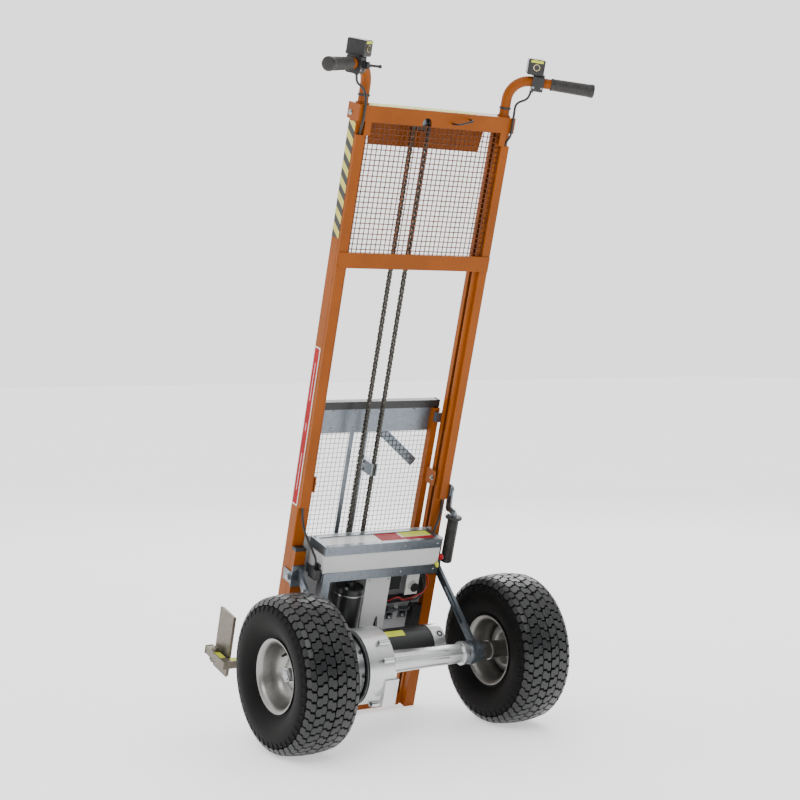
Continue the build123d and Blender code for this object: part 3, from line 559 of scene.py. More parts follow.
def add_lug(shell, middle, width, turn, hand, centre, outline, mark=0, share=1.0):
    """One tread block. Its plan is ten points: two edges that step by twice the
    skew at the block's middle, and a blunt tip at each end that reaches into the
    gap of the next row. The top is drawn in for a moulded edge."""
    s = wheel_sizes()
    half = (math.pi * s.radius / s.lugs - LUG_GAP) * share
    skew = LUG_SKEW * hand
    tip = 2.4 if share == 1.0 else 0.0
    plan = np.array([(-width / 2, -half - skew), (-1.4, -half - skew), (1.4, -half + skew),
                     (width / 2, -half + skew), (width / 2 + tip, skew), (width / 2, half + skew),
                     (1.4, half + skew), (-1.4, half - skew), (-width / 2, half - skew),
                     (-width / 2 - tip, -skew)])
    rings = []
    for inset, sink in ((-0.6, s.lug_depth + 0.4), (0.0, 1.3), (1.2, 0.0)):
        drawn = plan * (1 - 2 * inset / np.array([width, 2 * half]))
        sunk = np.full(10, sink if share == 1.0 else min(sink, 1.8))
        rings.append(on_tyre(middle + drawn[:, 0], turn + drawn[:, 1] / s.radius, sunk, centre, outline))
    shell.add(np.vstack(rings), grid_faces(3, 10, wrap_columns=True)
              + [(29, 20, 21, 27, 28), (21, 22, 26, 27), (22, 23, 24, 25, 26)], mark)


def build_tyre(name, centre, body, node):
    """A carcass lathed from the outline with its crown sunk by the groove depth,
    and rows of interlocking blocks that stand on it and end in short ribs over
    the shoulder."""
    s = wheel_sizes()
    outline = tyre_outline()
    along = outline[0]
    shell = Shell()
    edge = s.width / 2 + 9
    total = along[-1]
    lateral = np.concatenate([np.linspace(-total, -edge - 12, 24), np.linspace(-edge - 8, -edge, 4),
                              np.linspace(-edge + 3, edge - 3, 25), np.linspace(edge, edge + 8, 4),
                              np.linspace(edge + 12, total, 24)])
    reach = np.abs(lateral)
    depth = np.interp(reach, [edge - 10, edge - 6, edge + 8, edge + 12], [s.lug_depth, 2.6, 1.6, 0.35])
    depth = np.where((reach > edge + 30) & (reach < edge + 34), 0.0, depth)
    sides = 144
    turn = np.arange(sides) * 2 * math.pi / sides
    ring = on_tyre(np.repeat(lateral, sides), np.tile(turn, len(lateral)), np.repeat(depth, sides), centre,
                   outline)
    faces = grid_faces(len(lateral), sides, wrap_columns=True)
    shell.add(ring, [f[::-1] for f in faces if abs(lateral[f[0] // sides]) > edge - 7], 1)
    # the crown between the blocks takes the groove finish, whose near black is painted shade
    shell.add(ring, [f[::-1] for f in faces if abs(lateral[f[0] // sides]) <= edge - 7], 2)
    for side in (-1, 1):
        for middle, width, offset, hand in TREAD_ROWS:
            for k in range(s.lugs):
                turn = (k + offset + (0.25 if side > 0 else 0)) * 2 * math.pi / s.lugs
                add_lug(shell, side * middle, width, turn, hand * side, centre, outline)
        for k in range(s.lugs):
            turn = (k + 0.5 + (0.25 if side > 0 else 0)) * 2 * math.pi / s.lugs
            add_lug(shell, side * (edge + 4.5), 15, turn, 0, centre, outline, 1, 0.62)
    rubbers = [finish_of("tread"), finish_of("sidewall"), finish_of("groove")]
    shell.make(name, rubbers, body, [node], crease=28)


def build_rim(name, sign, body, node):
    """A drop centre barrel with rolled lips, a stepped disc and a hub tube, each a
    ring section turned round the axle, with a valve on the barrel."""
    s = wheel_sizes()
    centre = (sign * s.track / 2, 0, 0)
    axis = (sign, 0, 0)
    shell = Shell()
    flange = [(46, 77.8), (52, 79.3), (55.3, 82), (55.9, 86), (56.4, 88.2), (57.6, 89), (58.9, 88.9)]
    inside = [(59.3, 87.6), (58, 84), (54, 79.8), (47, 76), (31, 74), (19, 69.5)]
    barrel = [(30, 76.5), (18, 72), (-18, 72), (-30, 76.5)] + [(-x, r) for x, r in flange]
    barrel += [(-x, r) for x, r in inside] + inside[::-1] + flange[::-1]
    lathe(shell, centre, axis, barrel, 96, closed=True)
    front = [(24, 71), (15, 68.5), (7, 64), (1, 57.5), (-2, 50), (-1, 43.5), (4, 38), (10, 35), (13.2, 32.5),
             (14, 30), (14, 21.9)]
    back = [(11, 21.9), (11, 29.2), (8, 32), (1, 35.6), (-4, 42), (-5, 50.5), (-1.8, 59), (5, 66.4),
            (13, 71.2)]
    lathe(shell, centre, axis, front + back, 96, closed=True)
    hub = [(-84, 12.8), (-84, 20.5), (-82.5, 22), (13.8, 22), (13.8, 12.8)]
    lathe(shell, centre, axis, hub, 48, closed=True)
    bead = [(-57, 22), (-57, 24.5), (-50, 24.5), (-50, 22)]
    lathe(shell, centre, axis, bead, 48, closed=True)
    valve = [(0, 6.5), (3, 6.5), (6, 4.6), (22, 4.0), (22.5, 3.4), (30, 3.4), (31, 2.6)]
    start = np.array([centre[0] + sign * 27, -0.15 * 70, 0.985 * 70])
    lathe(shell, start, (sign * 0.93, -0.06, -0.37), valve, 16, mark=1)
    shell.make(name, [finish_of("rim"), finish_of("plastic")], body, [node], crease=30)


# Pieces of the mast

# The chain runs beside the mast's middle, between two sprockets of 14 teeth, mm
CHAIN_X = -32.0
CHAIN_Y = 257.25
DRIVE_SPROCKET_Z = -45.0
TOP_SPROCKET_Z = 1286.0
TEETH = 14


def chain_pins():
    """Evenly spaced pins, X and Z, round the loop: up one side, over the top
    sprocket by half a turn, down the other side and under the driving one."""
    pitch = mast_sizes().chain_pitch
    radius = pitch / 2 / math.sin(math.pi / TEETH)
    span = TOP_SPROCKET_Z - DRIVE_SPROCKET_Z
    half = span + math.pi * radius
    count = int(round(half / pitch)) * 2
    at = 2 * half * np.arange(count) / count
    part = np.mod(at, half)
    hand = np.where(at < half, 1.0, -1.0)
    turn = np.maximum(part - span, 0) / radius
    start = np.where(hand > 0, DRIVE_SPROCKET_Z, TOP_SPROCKET_Z)
    x = CHAIN_X + hand * radius * np.cos(turn)
    z = start + hand * (np.minimum(part, span) + radius * np.sin(turn))
    return np.stack([x, z], 1)


def link_outline(length):
    """A plate from pin to pin: a round end about each pin and a waist between."""
    ahead = np.radians(np.linspace(-100, 100, 5))
    behind = np.radians(np.linspace(80, 280, 5))
    first = np.stack([length + 4.0 * np.cos(ahead), 4.0 * np.sin(ahead)], 1)
    second = np.stack([4.0 * np.cos(behind), 4.0 * np.sin(behind)], 1)
    return np.vstack([first, [(length / 2, 2.7)], second, [(length / 2, -2.7)]])


def build_chain():
    """Waisted plates in pairs, inner and outer by turns, from pin to pin, with a
    roller and two pin ends at every joint."""
    pins = chain_pins()
    shell = Shell()
    for k, (a, b) in enumerate(zip(pins, np.roll(pins, -1, 0))):
        length = np.linalg.norm(b - a)
        d = (b - a) / length
        plan = link_outline(length)
        near, far = (4.75, 5.95) if k % 2 == 0 else (3.2, 4.4)
        for side in (-1, 1):
            origin = (a[0], CHAIN_Y + side * (near + far) / 2 + 0.6, a[1])
            slab(shell, origin, (d[0], 0, d[1]), (-d[1], 0, d[0]), plan, 1.2, 0.25)
        lathe(shell, (a[0], CHAIN_Y - 3.1, a[1]), (0, 1, 0), [(0, 3.1), (6.2, 3.1)], 10)
        lathe(shell, (a[0], CHAIN_Y - 6.4, a[1]), (0, 1, 0), [(0, 1.4), (12.8, 1.4)], 8)
    shell.make("chain_links", [finish_of("chain")], "chassis", ["lift_chain"], crease=40)


def wire_panel(shell, half_width, low, high, columns, rows, upright, across):
    """Straight round wires in two layers at even steps. The uprights stand from
    low to high and are given as plane Y, radius and sides; the cross wires as
    reach, first Z, last Z, plane Y, radius and sides."""
    for x in np.linspace(-half_width, half_width, columns):
        run_tube(shell, [(x, upright[0], low), (x, upright[0], high)], upright[1], upright[2])
    reach, first, last, y, radius, sides = across
    for z in np.linspace(first, last, rows):
        run_tube(shell, [(-reach, y, z), (reach, y, z)], radius, sides)


def build_guard_wires():
    """Round wires welded in two layers: uprights behind, cross wires in front."""
    s = mast_sizes()
    shell = Shell()
    wire_panel(shell, 195, 969, 1280, s.guard_columns, s.guard_rows, (242.6, s.wire * 1.05, 7),
               (196, 976, 1278, 241.2, s.wire, 7))
    shell.make("guard_wires", [finish_of("orange_wire")], "chassis", ["guard_mesh"])


def build_backrest_wires():
    """Fine round wires in two layers, denser across than the CAD's stand-in."""
    shell = Shell()
    wire_panel(shell, 189, -112, 554, 31, 53, (311.8, 0.8, 6), (190, -108, 550, 310.4, 0.7, 6))
    shell.make("backrest_wires", [finish_of("zinc_wire")], "carriage", ["backrest_mesh"])


# Outer face of the rails, lid of the battery box and top of the clamp arms, mm
RAIL_FACE = 221.5
LID_TOP = 243.0
ARM_TOP = -117.0
# Drive motor's axis (Y, Z) and radius; lift motor's axis (X, Y), mm
DRIVE_MOTOR = (80.0, -6.0)
DRIVE_MOTOR_RADIUS = 50.0
LIFT_MOTOR = (-67.0, 193.0)


def rail_film(shell, z, length, width, lift, thick, corner, mark):
    """A strip on the left rail's outer face, lift mm off it, about its middle."""
    origin = (-RAIL_FACE - lift, 263.5, z)
    slab(shell, origin, (0, 0, 1), (0, 1, 0), rounded(length, width, corner), thick, mark=mark)


def flat_film(shell, x, y, z, width, depth, thick, mark, corner=1):
    """A patch that lies on a face square to the mast."""
    slab(shell, (x, y, z), (1, 0, 0), (0, 1, 0), rounded(width, depth, corner), thick, mark=mark)


def motor_film(shell, mark):
    """A patch bent round the drive motor: a grid of X and turn about its axis,
    closed by the same grid a little nearer to the axis."""
    x, turn = np.meshgrid(np.linspace(-28, 30, 2), np.radians(np.linspace(62, 84, 10)))
    quads = grid_faces(10, 2)
    outer = DRIVE_MOTOR_RADIUS + 0.35
    for radius, faces in ((outer, quads), (outer * 0.996, [f[::-1] for f in quads])):
        points = [x, DRIVE_MOTOR[0] - radius * np.cos(turn), DRIVE_MOTOR[1] + radius * np.sin(turn)]
        shell.add(np.stack(points, -1), faces, mark)


def build_films():
    """The bare red strip and the banded tape on the left rail, and plain patches, one of them over the cap:
    thin slabs on the faces they stick to. The patches on the clamp arms are pieces of their own, because they
    ride with the arms."""
    red, white, banded, yellow, black = range(5)
    shell = Shell()
    rail_film(shell, 525.5, 405, 27, 0, 0.35, 2, white)
    rail_film(shell, 525.5, 398, 21, 0.35, 0.12, 1.5, red)
    for z, length in ((640, 95), (410, 95), (525, 20)):
        rail_film(shell, z, length, 1.6, 0.47, 0.08, 0.5, white)
    # the tape's bands are counted from the wheel axis, so its outline holds its place
    tape = np.array(rounded(276, 31, 1)) + np.array([1137, 0])
    slab(shell, (-RAIL_FACE, 261.0, 0), (0, 0, 1), (0, 1, 0), tape, 0.3, mark=banded)
    flat_film(shell, -40, 258, 1317, 300, 40, 0.3, yellow)
    flat_film(shell, 120, 188, LID_TOP, 100, 14, 0.25, red)
    flat_film(shell, 35, 204, LID_TOP, 68, 46, 0.25, red)
    flat_film(shell, 121, 213, LID_TOP, 92, 30, 0.3, yellow)
    flat_film(shell, 120, 212, LID_TOP + 0.3, 52, 1.6, 0.1, black, 0.5)
    for side, body in ((-1, "left"), (1, "right")):
        arm = Shell()
        flat_film(arm, side * 319, 362, ARM_TOP, 15, 52, 0.3, 0)
        flat_film(arm, side * 280, 321, ARM_TOP, 50, 15, 0.3, 0)
        arm.make("arm_film_" + body, [finish_of("yellow")], "clamp_" + body)
    motor_film(shell, yellow)
    films = [finish_of(name) for name in ("red", "print", "hazard", "yellow", "plastic")]
    shell.make("films", films, "chassis")


def build_mast_screws():
    """Dome heads on the cap's ends, hex heads on the posts and socket heads on the
    head plate."""
    shell = Shell()
    for side in (-1, 1):
        lathe(shell, (side * 224.5, 270, 1293), (side, 0, 0), [(0, 7), (1.2, 7), (3.2, 5), (4, 2.5)], 20)
        hex_head(shell, (side * 224.5, 235, 142), (side, 0, 0), 15, 6)
        cap_screw(shell, (side * 150, 284, 1300), (0, 1, 0), 5, 3)
    shell.make("mast_screws", [finish_of("turned")], "chassis")


def handle_frame(sign):
    """Origin and directions of the level run of a handlebar."""
    d = np.array([sign * 0.845, -0.535, 0.0])
    d /= np.linalg.norm(d)
    origin = np.array([sign * 204.0, 257.0, 1410.0])
    side = np.array([sign * 0.535, 0.845, 0.0])
    side /= np.linalg.norm(side)
    return origin, d, side, np.array([0.0, 0.0, 1.0])


def build_grips():
    """Tapered rubber sleeves with fine rings and a rolled end, lathed round each
    handlebar."""
    shell = Shell()
    for sign in (-1, 1):
        origin, d, _, _ = handle_frame(sign)
        profile = [(99.6, 12.6), (99.6, 14.0), (100.2, 15.2), (103.5, 15.6), (104.5, 14.6)]
        for k in range(1, 24):
            base = 14.6 + 1.1 * k / 24
            at = 104.5 + 88 * k / 24
            profile += [(at - 0.9, base), (at - 0.3, base - 0.35), (at + 0.3, base - 0.35), (at + 0.9, base)]
        profile += [(195, 15.8), (197.5, 16.5), (203, 16.5), (205.6, 15.4), (206.8, 12.5), (207, 8)]
        lathe(shell, origin, d, profile, 40)
    shell.make("hand_grip_rubber", [finish_of("grip")], "chassis", ["hand_grips"], crease=50)
    lever = Shell()
    profile = [(0, 9), (0.6, 12), (2.5, 14.2), (6, 15)]
    for k in range(18):
        at = 12 + 6 * k
        profile += [(at - 1.4, 15), (at - 0.6, 14.2), (at + 0.6, 14.2), (at + 1.4, 15)]
    profile += [(118.5, 15), (120, 17), (121, 21), (122.5, 22), (126, 22), (127, 21), (127, 8)]
    lathe(lever, (227.5, 203, 160), (0, 0, 1), profile, 40)
    lever.make("lever_grip_rubber", [finish_of("grip")], "release", ["lever_grip"], crease=50)


def build_switch_trim():
    """What sits on the switch housings: a turned ring and a plain patch round each button, screws and a cable
    gland."""
    shell = Shell()
    for sign in (-1, 1):
        origin, d, side, up = handle_frame(sign)
        face = origin + 57 * d - 22 * side + 36 * up
        ring = [(-0.4, 6.3), (-0.4, 8.6), (1.2, 8.6), (2.0, 7.8), (2.0, 6.3)]
        lathe(shell, face, -side, ring, 28, closed=True, mark=0)
        patch = origin + 56.5 * d - 22 * side + 50 * up
        slab(shell, patch, sign * d, up, rounded(30, 6, 1), 0.3, mark=1)
        for a in (40.5, 72.5):
            cap_screw(shell, origin + a * d + 26 * side + 22 * up, side, 2.4, 1.4, 2)
        for a in (57, 77):
            cap_screw(shell, origin + a * d - 19 * side - 12 * up, -side, 2.6, 1.6, 2)
        lathe(shell, origin + 56 * d - 22 * up, -up, [(0, 5.2), (3, 5.2), (4, 4.2), (4.2, 3.2)], 16, mark=3)
    mats = [finish_of("brass"), finish_of("yellow"), finish_of("turned"), finish_of("plastic")]
    shell.make("switch_trim", mats, "chassis")


def round_axle(radius, degrees, x=0.0):
    """A place at an angle round the wheel axis, from the mast's direction."""
    a = math.radians(degrees)
    return np.array([x, radius * math.sin(a), radius * math.cos(a)])


def build_motor_trim():
    """Bands, through bolts and bearing caps of both motors, and the bolts and edge
    ring of the gear case."""
    can, turned, cast, cast_dark = range(4)
    shell = Shell()
    mx, my = LIFT_MOTOR
    band = [(0, 37.6), (0, 38.1), (3, 38.1), (3.4, 37.6)]
    lathe(shell, (mx, my, 104), (0, 0, 1), band, 48, closed=True, mark=turned)
    for degrees in (40, 220):
        a = math.radians(degrees)
        hex_head(shell, (mx + 28 * math.cos(a), my + 28 * math.sin(a), 122), (0, 0, 1), 8, 4, turned)
    lathe(shell, (mx, my, 134), (0, 0, 1), [(0, 10), (0.6, 9.4), (0.6, 5), (-1.5, 4.6)], 24, mark=turned)
    dy, dz = DRIVE_MOTOR
    band = [(0, 50.05), (0, 50.6), (4, 50.6), (4, 50.05)]
    for x in (-84, 104):
        lathe(shell, (x, dy, dz), (1, 0, 0), band, 64, closed=True, mark=can)
    for degrees in (55, 235):
        a = math.radians(degrees)
        cap_screw(shell, (147, dy + 38 * math.cos(a), dz + 38 * math.sin(a)), (1, 0, 0), 4, 3.5, turned)
    bearing = [(-2, 17), (1.5, 17), (2.2, 16), (2.2, 9), (0.8, 8)]
    lathe(shell, (147, dy, dz), (1, 0, 0), bearing, 32, mark=cast)
    plug = [(-0.5, 8.4), (0.6, 8.2), (1.0, 7.4), (1.0, 4.4), (-1.4, 4)]
    lathe(shell, (128, 47.6, 36.8), (0, -4.4, 5.8), plug, 24, mark=can)
    for degrees in (-31, -58, -141, -186, -222, -300):
        hex_head(shell, round_axle(96, degrees, -96), (1, 0, 0), 8.5, 4, turned)
        hex_head(shell, round_axle(96, degrees, -124), (-1, 0, 0), 8.5, 3.5, turned)
    ring = [(-4, 88), (0, 90), (3, 90), (5, 87), (5, 80), (-1, 80)]
    lathe(shell, (-163, 0, 0), (-1, 0, 0), ring, 96, closed=True, mark=cast_dark)
    for k in range(8):
        hex_head(shell, round_axle(74, 45 * k + 10, -168), (-1, 0, 0), 8, 3.5, turned)
    mats = [finish_of(name) for name in ("can", "turned", "cast", "cast_dark")]
    shell.make("motor_trim", mats, "chassis")


def build_axle_casting():
    """The axle's casting: a nearly round section, radius times one less a
    twentieth of the squared cosine of four times the turn, that tapers along the
    axle and is flat ahead, with ribs, flange and bolts."""
    shell = Shell()
    x, radius = np.array([(-88, 31), (-60, 29.5), (0, 27), (80, 25.2), (150, 24.2), (164, 24.2)]).T
    sides = 48
    turn = 2 * math.pi * np.arange(sides) / sides
    r = np.outer(radius, 1 - 0.05 * np.cos(4 * turn) ** 2)
    y = np.minimum(r * np.sin(turn), 28.8)
    rings = np.stack([np.repeat(x, sides).reshape(r.shape), y, r * np.cos(turn)], -1)
    last = (len(x) - 1) * sides
    ends = [tuple(range(sides - 1, -1, -1)), tuple(range(last, last + sides))]
    shell.add(rings, grid_faces(len(x), sides, wrap_columns=True) + ends)
    rib = [(-86, 20), (-86, 34), (-30, 30), (110, 27.2), (118, 25), (118, 20)]
    for degrees in (250, 290, 330):
        n = round_axle(1, degrees + 90)
        slab(shell, -1.6 * n, (1, 0, 0), round_axle(1, degrees), rib, 3.2, 0.8)
    flange = [(164, 23), (164, 28), (165.5, 30), (175, 30), (176.5, 28), (176.5, 23)]
    lathe(shell, (0, 0, 0), (1, 0, 0), flange, 48, closed=True)
    lathe(shell, (0, 0, 0), (1, 0, 0), [(176, 13), (176, 24), (190, 24), (190, 13)], 40, closed=True)
    for degrees in (20, 110, 200, 290):
        hex_head(shell, round_axle(26, degrees, 176.5), (1, 0, 0), 5.5, 3, 1)
    mats = [finish_of("cast"), finish_of("turned")]
    shell.make("axle_casting", mats, "chassis", ["axle_tube"], crease=30)


def build_arm_bolts():
    """Bolts, nuts and lugs of the clamps round the half shafts and of the slotted
    arms, whose bolts lie at two shares of the arm's length."""
    shell = Shell()
    for side in (-1, 1):
        outward = (side, 0, 0)
        for z in (24, -24):
            hex_head(shell, (side * 223, 0, z), outward, 9, 5)
        hex_head(shell, (side * 209, 9, 24), outward, 12, 5)
        for t in (0.19, 0.74):
            hex_head(shell, (side * 209, 2 + 238 * t, 18 + 147.5 * t), outward, 9, 4)
        lug = side * 209 - (0 if side > 0 else 7)
        slab(shell, (lug, -16, 20), (0, 1, 0), (0, 0, 1), rounded(30, 16, 3), 7, 1, mark=1)
    shell.make("arm_bolts", [finish_of("turned"), finish_of("dark_steel")], "chassis")


def build_box_trim():
    """Corner screws, seam and plugs of the battery box, the ring of its charge
    socket, clips on the base plate and screws of the cover."""
    turned, zinc, red, yellow, black = range(5)
    across = (1, 0, 0)
    up = (0, 0, 1)
    back = (0, -1, 0)
    shell = Shell()
    for x in (-166, 166):
        for y in (170, 233):
            lathe(shell, (x, y, 245), up, [(0, 4), (0.8, 3.8), (1.9, 2.4), (2.2, 0.9)], 14, mark=turned)
    for x in (-160, -60, 60, 160):
        for z in (163, 233):
            lathe(shell, (x, 163, z), back, [(0, 3), (0.7, 2.8), (1.5, 1.6), (1.7, 0.6)], 12, mark=turned)
    slab(shell, (-20, 163, 222), across, up, rounded(20, 3, 0.5), -0.5, mark=turned)
    for x, z in ((99, 6), (140, 8)):
        slab(shell, (x, 240, z), across, up, rounded(26, 26, 1.5), 3, 0.5, mark=zinc)
        slab(shell, (x + 1, 240, z + 16), across, up, rounded(28, 7, 1.5), 15, 0.8, mark=zinc)
        slab(shell, (x, 237, z - 2), across, up, rounded(13, 13, 1), 5, 1, mark=black)
        hex_head(shell, (x, 232, z - 2), back, 6, 3, turned)
    ring = [(0, 12.3), (1, 12.3), (1.5, 11.7), (1.5, 8.3), (-7.5, 8)]
    lathe(shell, (127, 184, 104), back, ring, 32, mark=black)
    for x in (-20, 37):
        for z in (0, 138):
            cap_screw(shell, (x, 180, z), back, 2.6, 1.2, turned)
    plug = [(0, 6), (3, 6), (4, 7), (14, 7), (15, 5), (15.5, 3)]
    lathe(shell, (177, 176, 190), (0.3, -0.9, 0.25), plug, 16, mark=red)
    lathe(shell, (168, 163, 178), (-0.4, -0.8, -0.2), [(0, 5), (10, 5), (11, 3.5), (16, 3)], 14, mark=yellow)
    slab(shell, (-173, 186, 190), back, up, rounded(20, 8, 2), 6, 1, mark=black)
    mats = [finish_of(name) for name in ("turned", "zinc", "red", "yellow", "plastic")]
    shell.make("box_trim", mats, "chassis")


def smooth(points, steps=10):
    """A curve through the points: each span is the cubic whose slopes are half
    the distance between the neighbours."""
    p = np.asarray(points, float)
    p = np.vstack([2 * p[0] - p[1], p, 2 * p[-1] - p[-2]])
    t = np.linspace(0, 1, steps, endpoint=False)[:, None]
    out = []
    for i in range(1, len(p) - 2):
        a, b, c, d = p[i - 1:i + 3]
        out.append(0.5 * (2 * b + (c - a) * t + (2 * a - 5 * b + 4 * c - d) * t ** 2
                          + (3 * b - a - 3 * c + d) * t ** 3))
    return np.vstack(out + [p[-2][None]])


RED_LEADS = (
    ((70, 223, 60), (70, 208, 62), (90, 199, 74), (118, 201, 60), (140, 203, 64), (146, 214, 62),
     (147, 223, 60)),
    ((110, 223, 60), (110, 206, 62), (128, 196, 70), (158, 186, 88), (172, 190, 116), (164, 204, 142),
     (160, 208, 152)),
)
BLACK_LEADS = (
    ((80, 223, 60), (80, 207, 63), (96, 202, 70), (122, 204, 68), (136, 212, 62), (138, 223, 60)),
    ((100, 223, 60), (100, 206, 60), (116, 198, 62), (146, 190, 70), (164, 194, 96), (156, 206, 136),
     (152, 210, 152)),
)


def build_leads():
    """Thin black and red leads from the terminal strip up to the box and along the plate, each a tube along a
    smooth curve through listed points."""
    shell = Shell()
    for mark, group in enumerate((RED_LEADS, BLACK_LEADS)):
        for route in group:
            run_tube(shell, smooth(route), 1.7, 10, mark)
    shell.make("leads", [finish_of("red_lead"), finish_of("sheath")], "chassis")


def build_carriage_bolts():
    """Heads on the mesh band, the carriage's side plates and the chain's fork."""
    shell = Shell()
    for x in (-55, -15, 120, -120):
        for z in (500, 546):
            lathe(shell, (x, 307, z), (0, -1, 0), [(0, 4), (0.8, 4), (2, 2.6), (2.4, 1)], 12)
    for side in (-1, 1):
        for z in (-100, 377):
            hex_head(shell, (side * 177, 257.25, z), (-side, 0, 0), 8, 4)
    for z in (398, 418):
        hex_head(shell, (-19.4, 290, z), (-1, 0, 0), 7, 3)
    shell.make("carriage_bolts", [finish_of("turned")], "carriage")


FINISHES = {
    "orange": ["rail_left", "rail_right", "cable_ducts", "crosshead", "head_plate", "guard_bar", "foot_posts",
               "foot_crossbar", "handlebars", "carriage_frame"],
    "orange_wire": ["guard_mesh"],
    "plastic": ["post_caps", "control_left", "control_right", "thumb_lever", "backrest_top_bar",
                "controller"],
    "grip": ["hand_grips", "lever_grip"],
    "sheath": ["cables"],
    "button": ["button_left", "button_right"],
    "zinc": ["box_frames", "backrest_strips", "carriage_fittings", "release_lever", "brackets_and_pins"],
    "chromated": ["clamp_arm_left", "clamp_arm_right", "clamp_pad_left", "clamp_pad_right"],
    "zinc_wire": ["backrest_mesh"],
    "grey_paint": ["drive_cover", "battery_box", "battery_lid"],
    "plate_grey": ["base_plate"],
    "dark_steel": ["support_arms", "axle_clamps"],
    "chain": ["lift_chain", "top_sprocket", "drive_sprocket"],
    "can": ["lift_motor", "drive_motor"],
    "cast": ["gear_housing", "axle_tube", "drive_motor_cap", "lift_gearbox"],
    "rim": ["rim_left", "rim_right"],
    "turned": ["half_shaft_left", "half_shaft_right", "roller_lower_left", "roller_lower_right",
               "roller_upper_left", "roller_upper_right"],
    "tread": ["tyre_left", "tyre_right"],
    "case": ["batteries"],
    "white": ["charge_socket"],
}


class TrolleyFinishes(bpy.types.Operator):
    """Give every CAD node its finish"""
    bl_idname = "trolley.finishes"
    bl_label = "Finishes"

    def execute(self, context):
        """Puts each finish in the material slots of its nodes."""
        for name, nodes in FINISHES.items():
            for node in nodes:
                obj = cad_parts[node]
                obj.data.materials.clear()
                obj.data.materials.append(finish_of(name))
        return {"FINISHED"}


class TrolleyWheels(bpy.types.Operator):
    """Build both tyres and rims"""
    bl_idname = "trolley.wheels"
    bl_label = "Wheels"

    def execute(self, context):
        """Two tyres with stepped blocks, two rims with valves."""
        half = wheel_sizes().track / 2
        build_tyre("tyre_rubber_left", -half, "wheel_left", "tyre_left")
        build_tyre("tyre_rubber_right", half, "wheel_right", "tyre_right")
        build_rim("rim_pressed_left", -1, "wheel_left", "rim_left")
        build_rim("rim_pressed_right", 1, "wheel_right", "rim_right")
        return {"FINISHED"}


class TrolleyChain(bpy.types.Operator):
    """Build the chain's links"""
    bl_idname = "trolley.chain"
    bl_label = "Chain"

    def execute(self, context):
        """Plates, rollers and pins round the loop."""
        build_chain()
        return {"FINISHED"}


class TrolleyWires(bpy.types.Operator):
    """Build the wire panels"""
    bl_idname = "trolley.wires"
    bl_label = "Wire panels"

    def execute(self, context):
        """The guard's and the backrest's wires."""
        build_guard_wires()
        build_backrest_wires()
        return {"FINISHED"}


class TrolleyFilms(bpy.types.Operator):
    """Lay the bare strips and tapes"""
    bl_idname = "trolley.films"
    bl_label = "Films"

    def execute(self, context):
        """Thin films on rails, lid, cap and motor."""
        build_films()
        return {"FINISHED"}


class TrolleyHandles(bpy.types.Operator):
    """Build grips and switch trim"""
    bl_idname = "trolley.handles"
    bl_label = "Handles"

    def execute(self, context):
        """Rubber grips and what sits on the switches."""
        build_grips()
        build_switch_trim()
        return {"FINISHED"}


class TrolleyMastScrews(bpy.types.Operator):
    """Build the mast's screws"""
    bl_idname = "trolley.mast_screws"
    bl_label = "Mast screws"

    def execute(self, context):
        """Heads on the cap, the posts and the head plate."""
        build_mast_screws()
        return {"FINISHED"}


class TrolleyDrive(bpy.types.Operator):
    """Build motor trim, axle casting and arm bolts"""
    bl_idname = "trolley.drive"
    bl_label = "Drive"

    def execute(self, context):
        """What is bolted to motors, axle and arms."""
        build_motor_trim()
        build_axle_casting()
        build_arm_bolts()
        return {"FINISHED"}


class TrolleyBox(bpy.types.Operator):
    """Build the battery box's trim and leads"""
    bl_idname = "trolley.box"
    bl_label = "Battery box"

    def execute(self, context):
        """Screws, plugs, clips and leads."""
        build_box_trim()
        build_leads()
        return {"FINISHED"}


class TrolleyCarriageBolts(bpy.types.Operator):
    """Build the carriage's bolts"""
    bl_idname = "trolley.carriage_bolts"
    bl_label = "Carriage bolts"

    def execute(self, context):
        """Heads that ride with the carriage."""
        build_carriage_bolts()
        return {"FINISHED"}


def build_floor():
    """A wide flat sheet that glows a little, so that it stays pale."""
    size = 30.0
    rows = 5
    edge = np.linspace(-size, size, rows)
    x, y = np.meshgrid(edge, edge)
    points = np.stack([x.ravel(), y.ravel(), np.zeros(rows * rows)], 1)
    mesh = bpy.data.meshes.new("floor")
    mesh.from_pydata(points.tolist(), [], grid_faces(rows, rows))
    floor = bpy.data.objects.new("floor", mesh)
    bpy.context.scene.collection.objects.link(floor)
    paper = surface("pale studio floor, matt", "fafafa", "f7f7f7", 0.9, mottle=900, grain=40, specular=0.1)
    shader = next(n for n in paper.node_tree.nodes if n.type == "BSDF_PRINCIPLED")
    shader.inputs["Emission Color"].default_value = (1, 1, 1, 1)
    shader.inputs["Emission Strength"].default_value = 0.7
    mesh.materials.append(paper)


def build_room(strength):
    """A room that is bright overhead and behind the trolley and dim before it: the
    brighter of a ramp along Y and a ramp along Z."""
    world = bpy.context.scene.world or bpy.data.worlds.new("surround")
    bpy.context.scene.world = world
    world.use_nodes = True
    tree = world.node_tree
    back = tree.nodes.get("Background")
    back.inputs[1].default_value = strength
    coord = add_node(tree, "ShaderNodeTexCoord")
    split = add_node(tree, "ShaderNodeSeparateXYZ", [("Vector", coord.outputs["Generated"])])
    behind = add_node(tree, "ShaderNodeMapRange", [("Value", split.outputs[1])])
    behind.inputs["From Min"].default_value = -0.35
    behind.inputs["From Max"].default_value = 0.55
    behind.inputs["To Min"].default_value = 0.17
    above = add_node(tree, "ShaderNodeMapRange", [("Value", split.outputs[2])])
    above.inputs["From Min"].default_value = 0.35
    above.inputs["From Max"].default_value = 0.9
    ramps = [(0, behind.outputs[0]), (1, above.outputs[0])]
    most = add_node(tree, "ShaderNodeMath", ramps, operation="MAXIMUM")
    tree.links.new(most.outputs[0], back.inputs[0])


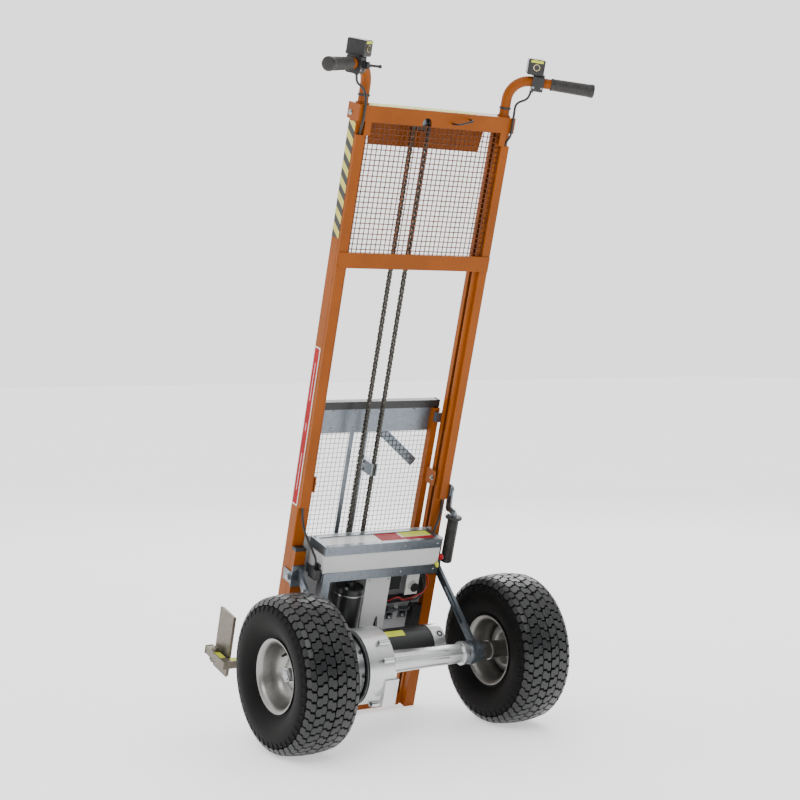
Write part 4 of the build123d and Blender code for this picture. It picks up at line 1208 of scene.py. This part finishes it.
def aimed_at(aim):
    """The turn that points an object's -Z along a direction with Y up."""
    return mathutils.Vector(aim).to_track_quat("-Z", "Y").to_euler()


def build_lights(power):
    """Three square lights aimed at the middle of the mast."""
    middle = np.array([0, 0, 0.7])
    lights = (("key", (-3.4, -3.2, 4.2), 2.6, 1.0), ("rim light", (3.0, 3.4, 3.4), 2.4, 0.9),
              ("fill", (4.2, -3.0, 2.0), 2.4, 0.3))
    for name, where, width, share in lights:
        data = bpy.data.lights.new(name, "AREA")
        data.energy = power * share
        data.size = width
        lamp = bpy.data.objects.new(name, data)
        lamp.location = where
        lamp.rotation_euler = aimed_at(middle - np.array(where))
        bpy.context.scene.collection.objects.link(lamp)


def build_camera(lens):
    """The camera at the place solved from the picture, in metres from the floor
    under the wheel axis."""
    data = bpy.data.cameras.new("view")
    data.sensor_width = 36
    data.lens = lens
    data.clip_end = 60
    camera = bpy.data.objects.new("view", data)
    shift = mast_sizes().shift / 1000
    where = np.array([-2.3193, -3.4638 + shift, 0.9799])
    camera.location = where
    camera.rotation_euler = aimed_at(np.array([-0.01521, shift, 0.83305]) - where)
    bpy.context.scene.collection.objects.link(camera)
    bpy.context.scene.camera = camera


class TrolleyStage(bpy.types.Operator):
    """Set floor, light and camera"""
    bl_idname = "trolley.stage"
    bl_label = "Stage"

    def execute(self, context):
        """A pale floor, soft lights and the camera at the picture's place."""
        look = context.scene.trolley_look
        build_floor()
        build_room(look.sky)
        build_lights(look.key)
        build_camera(look.lens)
        return {"FINISHED"}


class TrolleyPanel(bpy.types.Panel):
    """Lists the sizes and the steps of the build"""
    bl_idname = "VIEW3D_PT_trolley"
    bl_label = "Lift trolley"
    bl_space_type = "VIEW_3D"
    bl_region_type = "UI"
    bl_category = "Trolley"

    def draw(self, context):
        """One row for each size and each step."""
        scene = context.scene
        for group in (scene.trolley_mast, scene.trolley_wheels, scene.trolley_look):
            column = self.layout.column(align=True)
            for key in group.bl_rna.properties.keys():
                if key not in ("rna_type", "name"):
                    column.prop(group, key)
        for step in STEPS:
            self.layout.operator(step.bl_idname)


STEPS = (TrolleyFinishes, TrolleyWheels, TrolleyChain, TrolleyWires, TrolleyFilms, TrolleyHandles,
         TrolleyMastScrews, TrolleyDrive, TrolleyBox, TrolleyCarriageBolts, TrolleyStage)
GROUPS = (("trolley_mast", TrolleyMastSizes), ("trolley_wheels", TrolleyWheelSizes),
          ("trolley_look", TrolleyLook))


def register():
    """Registers the settings, the steps and the panel."""
    for name, group in GROUPS:
        bpy.utils.register_class(group)
        setattr(bpy.types.Scene, name, bpy.props.PointerProperty(type=group))
    for step in STEPS:
        bpy.utils.register_class(step)
    bpy.utils.register_class(TrolleyPanel)


def unregister():
    """Takes everything back out."""
    bpy.utils.unregister_class(TrolleyPanel)
    for step in reversed(STEPS):
        bpy.utils.unregister_class(step)
    for name, group in reversed(GROUPS):
        delattr(bpy.types.Scene, name)
        bpy.utils.unregister_class(group)


def main():
    """Builds everything in order."""
    register()
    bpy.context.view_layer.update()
    bpy.ops.trolley.finishes()
    bpy.ops.trolley.wheels()
    bpy.ops.trolley.chain()
    bpy.ops.trolley.wires()
    bpy.ops.trolley.films()
    bpy.ops.trolley.handles()
    bpy.ops.trolley.mast_screws()
    bpy.ops.trolley.drive()
    bpy.ops.trolley.box()
    bpy.ops.trolley.carriage_bolts()
    bpy.ops.trolley.stage()


if __name__ == "__main__":
    main()
